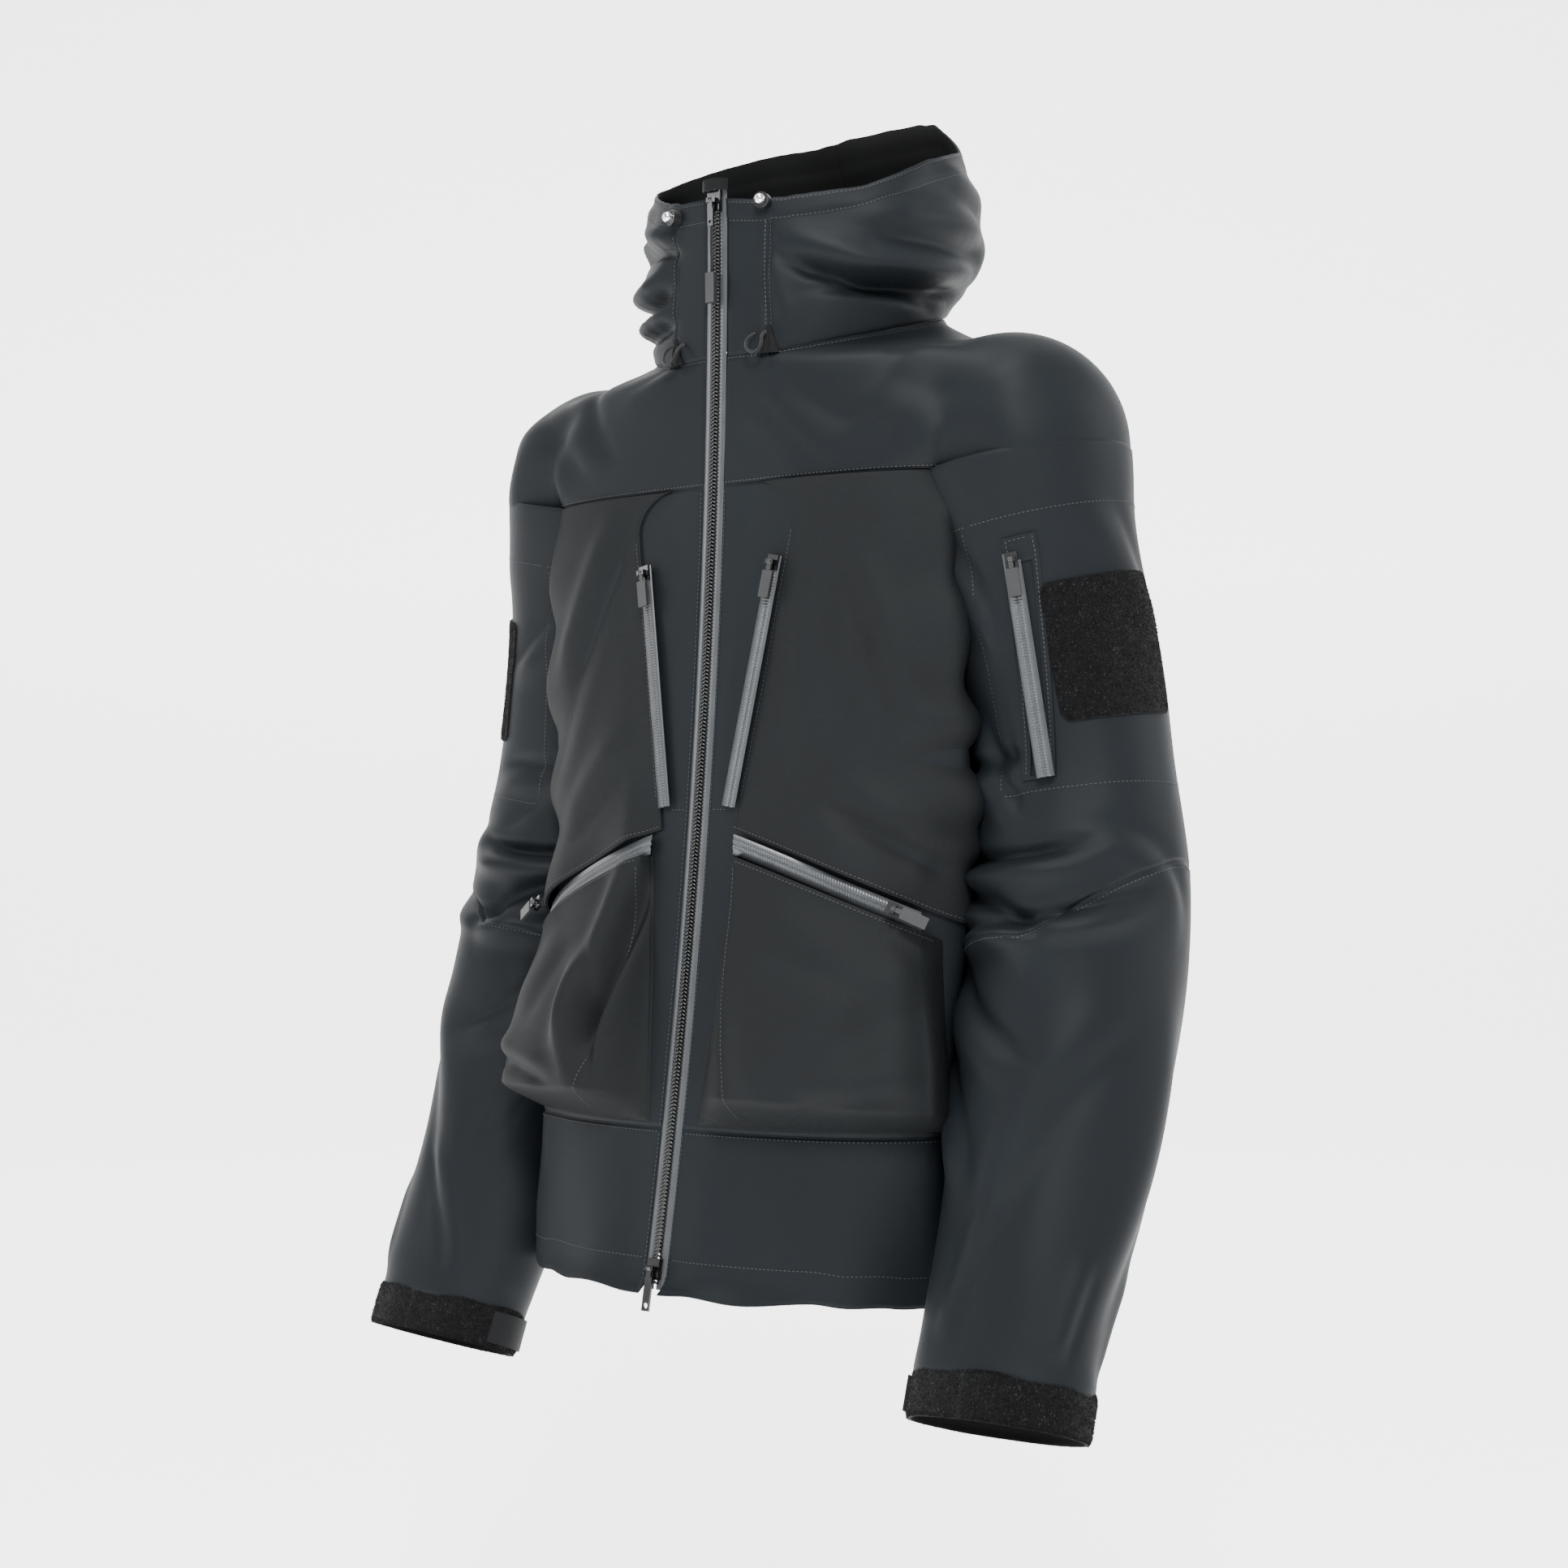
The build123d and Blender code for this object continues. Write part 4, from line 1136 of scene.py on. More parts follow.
# Folds of a sleeve: degrees round it and metres down it at both ends, half width, depth, crease, bow.
SLEEVE_FOLDS = [
    (-25, 0.070, 12, 0.150, 0.012, 0.0045, 0.7, 0.006),
    (62, 0.060, 96, 0.160, 0.016, 0.0030, 0.4, -0.008),
    (-32, 0.200, -5, 0.285, 0.012, 0.0050, 0.7, 0.008),
    (-75, 0.262, 22, 0.248, 0.012, 0.0060, 0.9, -0.012),
    (-80, 0.300, 34, 0.318, 0.012, 0.0095, 1.0, 0.014),
    (-80, 0.335, 8, 0.392, 0.013, 0.0090, 0.9, -0.008),
    (-60, 0.368, 62, 0.348, 0.010, 0.0070, 0.9, 0.016),
    (-62, 0.400, 0, 0.478, 0.014, 0.0070, 0.7, 0.010),
    (26, 0.300, 92, 0.352, 0.013, 0.0035, 0.5, -0.012),
    (-88, 0.420, -30, 0.560, 0.014, 0.0060, 0.6, 0.0),
    (46, 0.420, -12, 0.600, 0.020, 0.0055, 0.4, 0.016),
    (92, 0.400, 70, 0.620, 0.022, 0.0045, 0.4, -0.010),
    (5, 0.560, -25, 0.655, 0.010, 0.0030, 0.6, 0.004),
    (60, 0.590, 52, 0.660, 0.009, 0.0025, 0.6, 0.0),
    (120, 0.580, 112, 0.660, 0.010, 0.0025, 0.6, 0.0),
    (150, 0.250, 205, 0.300, 0.014, 0.0045, 0.5, 0.010),
    (140, 0.330, 215, 0.345, 0.013, 0.0050, 0.6, -0.010),
    (160, 0.420, 175, 0.620, 0.020, 0.0040, 0.4, 0.010),
    (200, 0.300, 285, 0.345, 0.013, 0.0060, 0.8, 0.012),
    (205, 0.370, 280, 0.365, 0.012, 0.0060, 0.8, -0.012),
]


def sleeve_relief(angle, down, sign):
    """Folds of the sleeve's cloth: short ones round the elbow's inside and long ones along the arm."""
    relief = np.zeros_like(angle)
    deg = math.radians
    size = 0.075
    rng = random.Random(17 + int(sign))
    for turn_a, down_a, turn_b, down_b, width, depth, crease, bow in SLEEVE_FOLDS:
        shift = 6 * rng.uniform(-1, 1) * (1 - sign) / 2
        drop = 0.012 * rng.uniform(-1, 1) * (1 - sign) / 2
        grow = 1 + 0.3 * rng.uniform(-1, 1) * (1 - sign) / 2
        for whole in (-360, 0, 360):
            relief += fold(
                (angle + deg(whole)) * size, down, (deg(turn_a + shift) * size, down_a + drop),
                (deg(turn_b - shift) * size, down_b + drop), width, depth * grow, crease, bow,
            )
    soft = 0.0016 * np.sin(2 * angle + down * 19 + sign) + 0.0010 * np.sin(3 * angle - down * 31)
    ends = smoothstep((down - 0.03) / 0.05) * smoothstep((SLEEVE.end - down) / 0.02)
    zip_angle, _ = to_sleeve(ARM_ZIP_ENDS)
    beside = np.abs(angle - zip_angle.mean()) * size
    along = np.maximum(np.maximum(ARM_ZIP_DOWN[0] - 0.02 - down, down - ARM_ZIP_DOWN[1] - 0.015), 0)
    flat = smoothstep((np.hypot(beside, along) - 0.010) / 0.030) if sign > 0 else 1.0
    return (relief + soft) * ends * flat


def to_sleeve(points):
    """Angle round the upper sleeve and distance down it of some points on the left."""
    down = (points - SHOULDER) @ UPPER_ARM
    centre = SLEEVE.at(SLEEVE.line, down)
    out, front = SLEEVE.at(SLEEVE.out, down), SLEEVE.at(SLEEVE.front, down)
    away = points - centre
    return np.arctan2(np.sum(away * out, -1), np.sum(away * front, -1)), down


ARM_TAPE = node_points("sleeve_zip_tape")
ARM_ZIP_ENDS = ARM_TAPE[[ARM_TAPE[:, 2].argmax(), ARM_TAPE[:, 2].argmin()]]
ARM_ZIP_DOWN = to_sleeve(ARM_ZIP_ENDS)[1]

ARM = {sign: Surface(SLEEVE.point, sleeve_relief, (0.03, 0.003), sign) for sign in (1.0, -1.0)}


ARM_POCKET_END = 0.256          # down the sleeve to the foot of the sleeve pocket's outline


def elbow_seam(angle):
    """How far down the sleeve the seam across the elbow is, by angle."""
    outward = np.cos(angle - math.radians(105))
    return SLEEVE.elbow_down + 0.045 - 0.055 * np.maximum(outward, -0.2)


def make_sleeves(mats):
    angles = np.arange(SLEEVE_TURNS) * 2 * math.pi / SLEEVE_TURNS
    for side, sign in sides():
        blend = (
            f"upper_sleeve_{side}", f"lower_sleeve_{side}",
            tuple((ELBOW - UPPER_ARM * 0.05) * (sign, 1, 1)), tuple((ELBOW + FOREARM * 0.05) * (sign, 1, 1)),
        )
        for name, top, bottom, length in (
            ("upper_sleeve", lambda t: np.full_like(t, 0.014), elbow_seam, 0.36),
            ("lower_sleeve", elbow_seam, lambda t: np.full_like(t, SLEEVE.end + 0.008), 0.32),
        ):
            row, down = np.meshgrid(angles, spaced(length, 0.0035), indexing="ij")
            down = top(row) + (bottom(row) - top(row)) * down
            points = in_order(ARM[sign].point(row, down), sign)
            build = Build(f"{name}_cloth_{side}")
            build.cloth(points, 0.0011, mats["shell"], mats["lining"], closed=True)
            around = np.linspace(0, 2 * math.pi, 200)
            rows = [elbow_seam(around) + 0.004] if name == "lower_sleeve" else [np.full(200, 0.058)]
            for line in rows:
                seam_stitches(build, ARM[sign], around, line, mats["thread"])
            if name == "upper_sleeve":
                inner = np.radians(-4 - 8 * np.linspace(0, 1, 90) ** 0.8)
                foot = np.linspace(inner[-1], math.radians(110), 90)
                seam_stitches(build, ARM[sign], inner, np.linspace(0.060, ARM_POCKET_END, 90), mats["thread"])
                seam_stitches(build, ARM[sign], foot, np.full(90, ARM_POCKET_END), mats["thread"])
            build.finish("shell_fabric", blend=blend, replaces=[f"{name}_{side}"])


# ---------------------------------------------------------------- zips
class Track:
    """A zip's path and front face, read from its tape in the frame and its slider's joint."""

    def __init__(self, tape, slide, pull, curved=False):
        verts = node_points(tape)
        joint = JOINTS[slide]
        axis = unit(np.array(joint["axis"]))
        self.curved = curved
        middle = (verts.min(0) + verts.max(0)) / 2
        if curved:
            self.centre = np.array(joint["pos_m"])
            away = middle - self.centre
            self.normal = axis if axis[1] < 0 else -axis
            self.e1 = unit(away - self.normal * (away @ self.normal))
            self.e2 = np.cross(self.normal, self.e1)
            local = verts - self.centre
            flat = np.stack([local @ self.e1, local @ self.e2], -1)
            radius = np.linalg.norm(flat, axis=1)
            self.radius = (radius.min() + radius.max()) / 2
            angle = np.arctan2(flat[:, 1], flat[:, 0])
            self.low, self.high = angle.min(), angle.max()
            self.length = (self.high - self.low) * self.radius
            self.front = (local @ self.normal).max()
            return
        self.along = axis if axis[2] < 0 else -axis
        across = unit(np.array(JOINTS[pull]["axis"]))
        self.across = across - self.along * (across @ self.along)
        self.normal = np.cross(self.across, self.along)
        out = middle - np.array([0, AXIS_Y, middle[2]])
        if self.normal @ out < 0:
            self.normal = -self.normal
        self.across = np.cross(self.along, self.normal)
        run, side = (verts - middle) @ self.along, (verts - middle) @ self.across
        self.length = run.max() - run.min()
        front = ((verts - middle) @ self.normal).max()
        centre = (side.max() + side.min()) / 2
        self.start = middle + self.along * run.min() + self.normal * front + self.across * centre

    def point(self, s, across, high):
        """A place `s` down the zip, off its middle line and above its front face."""
        s, across, high = (np.asarray(v, float)[..., None] for v in (s, across, high))
        if self.curved:
            angle = self.low + s / self.radius
            ring = self.e1 * np.cos(angle) + self.e2 * np.sin(angle)
            return self.centre + ring * (self.radius + across) + self.normal * (self.front + high)
        return self.start + self.along * s + self.across * across + self.normal * high


def mirror_x(points, sign):
    return points * np.array([sign, 1.0, 1.0])


def laid_on_body(points, high, sign):
    """Left-hand points moved out to lie on the body's cloth wherever that stands farther out."""
    turn = np.arctan2(points[..., 0], AXIS_Y - points[..., 1])
    cloth = on_body(sign, turn, points[..., 2]) * np.array([sign, 1.0, 1.0])
    reach = np.hypot(cloth[..., 0], cloth[..., 1] - AXIS_Y) + high + 0.0012
    mine = np.hypot(points[..., 0], points[..., 1] - AXIS_Y)
    scale = np.maximum(reach / mine, 1.0)
    moved = points.copy()
    moved[..., 0] *= scale
    moved[..., 1] = AXIS_Y + (points[..., 1] - AXIS_Y) * scale
    return moved


def coil_zip(name, track, mats, body, slot_nodes, sign, half):
    """Coated tapes that meet in the middle, with the coil's two rows of bumps showing through."""
    base = [
        (-half, -0.0006), (-half, 0.0), (-0.0036, 0.0001), (-0.0031, 0.0006), (-0.0021, 0.0009),
        (-0.0012, 0.0007), (-0.0006, 0.0002), (0.0, -0.0004), (0.0006, 0.0002), (0.0012, 0.0007),
        (0.0021, 0.0009), (0.0031, 0.0006), (0.0036, 0.0001), (half, 0.0), (half, -0.0006),
    ]
    base = np.array(base)
    pitch = 0.0021
    runs = np.arange(0.0, track.length, pitch / 4)
    bumpy = ((np.abs(base[:, 0]) > 0.0005) & (np.abs(base[:, 0]) < 0.0034)).astype(float)
    ridge = 0.00045 * np.sin(runs * 2 * math.pi / pitch)
    s = np.repeat(runs[:, None], len(base), 1)
    across = np.repeat(base[None, :, 0], len(runs), 0)
    high = base[None, :, 1] + ridge[:, None] * bumpy[None]
    points = track.point(s, across, high)
    if body == "torso":
        points = laid_on_body(points, high, sign)
    points = mirror_x(points, sign)
    index = np.arange(points.shape[0] * points.shape[1]).reshape(points.shape[:2])
    quads = quads_of(index)
    normal = np.cross(points[1, 7] - points[0, 7], points[0, 8] - points[0, 7])
    want = mirror_x(track.normal, sign)
    if normal @ want > 0:
        quads = quads[:, ::-1]
    build = Build(name)
    build.add(points, quads, mats["tape"])
    return build.finish("zip_tape", body, replaces=slot_nodes)


class MainZip:
    """The main zip's circle: places by distance down from the top, off the middle and in front."""

    def __init__(self):
        joint = JOINTS["main_zip_upper"]
        self.centre = np.array(joint["pos_m"])[1:]
        tape = node_points("zip_tape_left")
        offset = tape[:, 1:] - self.centre
        self.radius = np.linalg.norm(offset, axis=1).min()
        angle = np.arctan2(offset[:, 1], offset[:, 0])
        self.top, self.foot = angle.max(), angle.min()
        self.length = (self.top - self.foot) * self.radius

    def point(self, s, across, high):
        angle = self.top - np.asarray(s, float) / self.radius
        r = self.radius - np.asarray(high, float)
        y, z = self.centre[0] + r * np.cos(angle), self.centre[1] + r * np.sin(angle)
        return np.stack(np.broadcast_arrays(np.asarray(across, float), y, z), -1)


MAIN = MainZip()


def box_verts(centre, ex, ey, ez):
    """Eight corners of small boxes, from arrays of centres and half-axis vectors."""
    corners = []
    for z, taper in ((-1, 1.0), (1, 0.72)):
        for x, y in ((-1, -1), (1, -1), (1, 1), (-1, 1)):
            corners.append(centre + ex * x + ey * y * taper + ez * z)
    return np.stack(corners, 1)


BOX_FACES = np.array([(0, 3, 2, 1), (4, 5, 6, 7), (0, 1, 5, 4), (1, 2, 6, 5), (2, 3, 7, 6), (3, 0, 4, 7)])


# Across one main tape from beside the teeth: off the middle, and in front of the tape's face.
MAIN_TAPE_PROFILE = [
    (0.0010, -0.0008), (0.0030, -0.0002), (0.0046, 0.0004), (0.0072, 0.0003), (0.0092, -0.0006),
]


def make_main_zip(mats):
    for side, sign in sides():
        runs = np.arange(0, MAIN.length, 0.004)
        profile = np.array(MAIN_TAPE_PROFILE)
        s = np.repeat(runs[:, None], len(profile), 1)
        points = MAIN.point(s, sign * profile[None, :, 0] + 0 * s, profile[None, :, 1] + 0 * s)
        index = np.arange(points.shape[0] * points.shape[1]).reshape(points.shape[:2])
        quads = quads_of(index)
        build = Build(f"main_zip_tape_{side}")
        build.add(points, quads[:, ::-1] if sign > 0 else quads, mats["tape"])
        build.finish("zip_tape", "torso", replaces=[f"zip_tape_{side}"])
    build = Build("main_zip_teeth")
    pitch = 0.0027
    s = np.arange(pitch, MAIN.length - pitch, pitch)
    for sign, shift in ((1.0, 0.0), (-1.0, pitch / 2)):
        places = s + shift
        zero = np.zeros_like(places)
        centre = MAIN.point(places, zero + sign * 0.00165, zero + 0.0011)
        along = unit(MAIN.point(places + 0.001, zero, zero) - MAIN.point(places, zero, zero))
        out = unit(MAIN.point(places, zero, zero + 0.001) - MAIN.point(places, zero, zero))
        across = np.zeros_like(along)
        across[:, 0] = sign
        slant = unit(across + along * 0.42)
        thick = np.cross(slant, out)
        verts = box_verts(centre, slant * 0.0020, thick * 0.00062, out * 0.0011)
        start = np.arange(len(places))[:, None, None] * 8
        faces = (BOX_FACES[None] + start).reshape(-1, 4)
        spin = np.einsum("ij,ij->i", np.cross(slant, thick), out)[0]
        build.add(verts, faces if spin > 0 else faces[:, ::-1], mats["teeth"])
    build.finish("zip_teeth", "torso", replaces=["zip_teeth"])


CHEST = Track("chest_zip_tape_left", "chest_zip_left", "chest_pull_left")
HAND = Track("hand_zip_tape_left", "hand_zip_left", "hand_pull_left", curved=True)
HAND_TAPE = 0.0072              # half the height of the tape that shows
HAND_OUT = 0.0055               # from the panel's cloth to the tape's front


class HandZip:
    """A hand pocket's zip laid along the swell of the front panel, for coil_zip."""

    def __init__(self, sign):
        x, z = hand_line()
        turn = TORSO.turn_at(x, z)
        line = TORSO.point(turn, z)
        run = run_along(line)
        self.run, self.turns, self.heights = run, turn, z
        self.length, self.sign = run[-1], sign
        self.normal = np.array([0.5, -0.85, 0.0])

    def point(self, s, across, high):
        turn = np.interp(s, self.run, self.turns)
        z = np.interp(s, self.run, self.heights) + across
        points = on_body(self.sign, turn, z, HAND_OUT + high)
        return mirror_x(points, self.sign)
ARM_ZIP = Track("sleeve_zip_tape", "sleeve_zip", "sleeve_pull")


def make_coil_zips(mats):
    for side, sign in sides():
        coil_zip(f"chest_zip_{side}", CHEST, mats, "torso", [f"chest_zip_tape_{side}"], sign, 0.0056)
        zip_tape = HandZip(sign)
        coil_zip(f"hand_zip_{side}", zip_tape, mats, "torso", [f"hand_zip_tape_{side}"], sign, HAND_TAPE)
    coil_zip("sleeve_zip_left", ARM_ZIP, mats, "upper_sleeve_left", ["sleeve_zip_tape"], 1.0, 0.0062)


# ---------------------------------------------------------------- pockets
CHEST_HEAD = CHEST.point(0.0, 0.0, 0.0)
CHEST_FOOT = CHEST.point(CHEST.length, 0.0, 0.0)
ARCH_TALL = 0.030               # from the chest seam down to where the arch meets the zip
ARCH_X = 0.026                  # where the arch leaves the chest seam
EDGE_STITCH = 0.0025            # from a pocket's edge to its row of stitches


def chest_edge_x(z):
    """X of the chest pocket's inner edge: down beside its zip, and over an arch above it."""
    low, high = CHEST_FOOT, CHEST_HEAD
    line = low[0] + (high[0] - low[0]) * (z - low[2]) / (high[2] - low[2])
    spring = CHEST_Z - ARCH_TALL
    at_spring = low[0] + (high[0] - low[0]) * (spring - low[2]) / (high[2] - low[2])
    rise = np.clip((z - spring) / ARCH_TALL, 0, 1)
    arch = ARCH_X + (at_spring - ARCH_X) * np.sqrt(np.maximum(1 - rise**2, 0))
    return np.where(z < spring, line + 0.0052, arch + 0.0052)


def hand_line():
    """X and Z along the middle of the left hand zip."""
    s = np.linspace(0, HAND.length, 40)
    line = HAND.point(s, 0 * s, 0 * s)
    order = np.argsort(line[:, 0])
    return line[order, 0], line[order, 2]


HAND_X, HAND_Z = hand_line()


def hand_z(x):
    """Height of the hand zip's middle at x, carried on past its ends."""
    slope = (HAND_Z[-1] - HAND_Z[-6]) / (HAND_X[-1] - HAND_X[-6])
    start = (HAND_Z[5] - HAND_Z[0]) / (HAND_X[5] - HAND_X[0])
    inside = np.interp(x, HAND_X, HAND_Z)
    return inside + np.maximum(x - HAND_X[-1], 0) * slope + np.minimum(x - HAND_X[0], 0) * start


def slumped(h, slumps, crease):
    """Level folds that sag on each other, each with its height, half height and depth."""
    relief = np.zeros_like(h)
    for at, tall, deep in slumps:
        relief += deep * np.exp(-(((h - at) / tall) ** 2))
        relief -= crease * deep * np.exp(-(((h - at + 1.5 * tall) / (0.6 * tall)) ** 2))
    return relief


def chest_pocket_relief(turn, z, sign):
    x = TORSO.radius_at(turn, z) * np.sin(turn)
    h = z - HEM_Z
    low = hand_z(x) + 0.010
    near_foot = smoothstep(1 - (z - low) / 0.06)
    inner = smoothstep((x - chest_edge_x(z)) / 0.03)
    outer = smoothstep((turn - 0.9) / 0.5)
    relief = 0.0022 + near_foot * (0.006 + 0.004 * np.sin(x * 55 + sign)) * inner
    if sign > 0:
        slumps = ((0.535, 0.020, 0.004), (0.470, 0.030, 0.009), (0.405, 0.018, 0.012), (0.350, 0.016, 0.010))
        relief += outer * slumped(h, slumps, 0.7)
        relief += fold(x, h, (0.13, 0.52), (0.17, 0.40), 0.012, 0.005, 0.5)
        relief += fold(x, h, (0.12, 0.36), (0.20, 0.31), 0.012, 0.006, 0.8)
        relief += fold(x, h, (0.075, 0.50), (0.10, 0.36), 0.020, 0.003, 0.3)
    else:
        edge = np.exp(-(((x - chest_edge_x(z)) / 0.012) ** 2))
        relief += edge * 0.006
        slumps = ((0.520, 0.022, 0.007), (0.440, 0.026, 0.009), (0.360, 0.020, 0.008))
        relief += outer * slumped(h, slumps, 0.6)
        relief += fold(x, h, (0.10, 0.56), (0.16, 0.45), 0.014, 0.006, 0.6)
        relief += fold(x, h, (0.08, 0.40), (0.15, 0.33), 0.014, 0.004, 0.4)
    return relief * (0.35 + 0.65 * inner)


def make_chest_pockets(mats):
    outer = at_y(SIDE_SEAM_FRONT - 0.002)
    for side, sign in sides():
        surface = Surface(
            TORSO.below,
            lambda turn, down, s: torso_relief(turn, -down, s) + chest_pocket_relief(turn, -down, s),
            (0.012, 0.003), sign,
        )

        def low(turn):
            x = TORSO.radius_at(turn, np.full_like(turn, CHEST_Z - 0.25)) * np.sin(turn)
            return hand_z(x) + 0.0095

        turn, z = grid_of(
            lambda z: TORSO.turn_at(chest_edge_x(z), z), outer, low, level(CHEST_Z - 0.0008),
            spaced(0.17, 0.0035), spaced(0.27, 0.0035),
        )
        points = in_order(surface.point(turn, -z), sign)
        build = Build(f"chest_pocket_cloth_{side}")
        build.cloth(points, 0.0016, mats["pocket"], mats["lining"])
        seam_stitches(build, surface, turn[:, -1], -(z[:, -1] + EDGE_STITCH), mats["thread"])
        zs = np.linspace(CHEST_HEAD[2] + 0.02, CHEST_FOOT[2] + 0.004, 80)
        turns = TORSO.turn_at(chest_edge_x(zs) + EDGE_STITCH, zs)
        seam_stitches(build, surface, turns, -zs, mats["thread"])
        build.finish("pocket_fabric", "torso", replaces=[f"chest_pocket_{side}"])


CARGO_FOOT = HEM_SEAM_Z + 0.003
CARGO_OUT_Y = AXIS_Y - 0.077    # the pocket's outer edge, round towards the side
CARGO_HEAD_X, CARGO_FOOT_X = 0.040, 0.021
CARGO_WIDE = 0.150


def cargo_height(x, z, across, down, sign):
    """How far the cargo pocket stands off the body: low at its zip and full at its foot."""
    full = 0.011 + 0.019 * smoothstep(down / 0.75)
    gusset = 0.004 + 0.036 * np.clip(down, 0, 1)
    inner = smoothstep(across * CARGO_WIDE / gusset) ** 0.8
    outer = smoothstep((1 - across) * CARGO_WIDE / 0.016) ** 0.7
    foot = smoothstep((1 - down) * 0.16 / 0.018) ** 0.7
    belly = 0.006 * np.sin(math.pi * np.clip(across, 0, 1)) * smoothstep(down / 0.4)
    folds = np.zeros_like(x)
    h = z - HEM_Z
    if sign > 0:
        folds += fold(x, h, (0.075, 0.27), (0.17, 0.225), 0.016, 0.0030, 0.6)
        folds += fold(x, h, (0.10, 0.185), (0.175, 0.235), 0.016, 0.0028, 0.5)
        folds += fold(x, h, (0.075, 0.20), (0.085, 0.135), 0.012, 0.0020, 0.5)
        folds += fold(x, h, (0.11, 0.145), (0.165, 0.155), 0.010, 0.0035, 0.8)
    else:
        folds += fold(x, h, (0.052, 0.31), (0.085, 0.16), 0.012, 0.0100, 1.5)
        folds += fold(x, h, (0.085, 0.235), (0.070, 0.135), 0.010, 0.0060, 0.9)
        folds += fold(x, h, (0.09, 0.15), (0.165, 0.165), 0.009, 0.0050, 0.9)
        folds += fold(x, h, (0.12, 0.25), (0.15, 0.19), 0.014, 0.0030, 0.5)
    return 0.0012 + (full + belly + folds) * np.minimum(inner, outer) * foot


def make_cargo_pockets(mats):
    def inner_x(z):
        top = HAND_Z[0] - 0.004
        share = np.clip((z - CARGO_FOOT) / (top - CARGO_FOOT), 0, 1)
        return CARGO_FOOT_X + (CARGO_HEAD_X - CARGO_FOOT_X) * share

    def low(turn):
        return np.full_like(turn, CARGO_FOOT)

    def high(turn):
        x = TORSO.radius_at(turn, np.full_like(turn, HAND_Z.mean())) * np.sin(turn)
        return hand_z(x) - 0.0075

    even = spaced(0.17, 0.0035)
    across = np.concatenate([even, np.linspace(0, 0.25, 40), np.linspace(0.88, 1, 24)])
    across = np.unique(np.round(across, 5))
    down = np.unique(np.round(np.concatenate([even, np.linspace(0.86, 1, 22)]), 5))
    for side, sign in sides():
        def left(z):
            return TORSO.turn_at(inner_x(z), z)

        def right(z):
            return turn_at_y(TORSO, CARGO_OUT_Y, z)

        def relief(turn, lower, s):
            z = -lower
            a = (turn - left(z)) / (right(z) - left(z))
            top = high(turn)
            d = (top - z) / (top - CARGO_FOOT)
            x = TORSO.radius_at(turn, z) * np.sin(turn)
            return torso_relief(turn, z, s) + cargo_height(x, z, np.clip(a, 0, 1), np.clip(d, 0, 1), s)

        surface = Surface(TORSO.below, relief, (0.004, 0.0012), sign)
        turn, z = grid_of(left, right, low, high, across, down)
        flat = Surface(TORSO.below, lambda u, v, s: 0 * u, (0.012, 0.003), sign)
        points = flat.point(turn, -z, relief(turn, -z, sign))
        build = Build(f"cargo_pocket_cloth_{side}")
        build.cloth(in_order(points, sign), 0.0014, mats["pocket"], mats["lining"])
        rows = np.linspace(0.02, 0.97, 90)
        gusset_edge = (0.004 + 0.036 * rows) / CARGO_WIDE + 0.012
        zs = np.interp(rows, [0, 1], [HAND_Z[0] - 0.012, CARGO_FOOT])
        us = left(zs) + (right(zs) - left(zs)) * gusset_edge
        seam_stitches(build, surface, us, -zs, mats["thread"], 0.0003)
        k = np.linspace(0.03, 0.97, 120)
        us = turn[0, 0] + (turn[-1, 0] - turn[0, 0]) * k
        seam_stitches(build, surface, us, -(high(us) - 0.003), mats["thread"], 0.0003)
        build.finish("pocket_fabric", "torso", replaces=[f"cargo_pocket_{side}"])


# ---------------------------------------------------------------- hook-and-loop
def rounded(across, down, half, corner):
    """Moves a square grid's corners in to a rounded outline; both run from -half to half."""
    inner = half - corner
    dx = np.sign(across) * np.maximum(np.abs(across) - inner, 0)
    dy = np.sign(down) * np.maximum(np.abs(down) - inner, 0)
    size = np.hypot(dx, dy)
    pull = np.where(size > 0, np.maximum(np.abs(dx), np.abs(dy)) / np.maximum(size, 1e-9), 1)
    return across - dx + dx * pull, down - dy + dy * pull


def pile(build, points, normals, count, seed, material, high=0.0009):
    """Short tufts standing on a grid of points."""
    rng = np.random.default_rng(seed)
    m, n = points.shape[:2]
    i, j = rng.integers(0, m - 1, count), rng.integers(0, n - 1, count)
    p, q = rng.random(count), rng.random(count)
    at = between(points, i + p, j + q)
    up = normals[i, j]
    side = unit(np.cross(up, rng.normal(size=(count, 3))))
    other = np.cross(up, side)
    wide = 0.0004 * (0.5 + rng.random(count))[:, None]
    lean = side * (rng.random(count)[:, None] - 0.5) * 0.0012
    tip = at + up * high * (0.5 + rng.random(count))[:, None] + lean
    back = at - side * wide * 0.5
    verts = np.stack([at + side * wide, back + other * wide, back - other * wide, tip], 1)
    faces = np.array([(0, 1, 3), (1, 2, 3), (2, 0, 3)])
    start = np.arange(count)[:, None, None] * 4
    build.add(verts, (faces[None] + start).reshape(-1, 3), material)


def make_loop_patches(mats):
    angle, down = to_sleeve(node_points("loop_patch_left"))
    middle_angle, middle_down = (angle.min() + angle.max()) / 2, (down.min() + down.max()) / 2
    half = (down.max() - down.min()) / 2
    for side, sign in sides():
        steps = np.linspace(-half, half, 46)
        a, b = np.meshgrid(steps, steps, indexing="ij")
        a, b = rounded(a, b, half, 0.009)
        points = ARM[sign].point(middle_angle + a / ARM_HALF, middle_down + b, 0.0019)
        build = Build(f"loop_patch_cloth_{side}")
        outer, normals = build.cloth(in_order(points, sign), 0.0016, mats["fuzz"], mats["fuzz"], roll=0.0006)
        pile(build, outer, normals, 9000, 3, mats["fuzz"])
        build.finish("hook_and_loop", f"upper_sleeve_{side}", replaces=[f"loop_patch_{side}"])


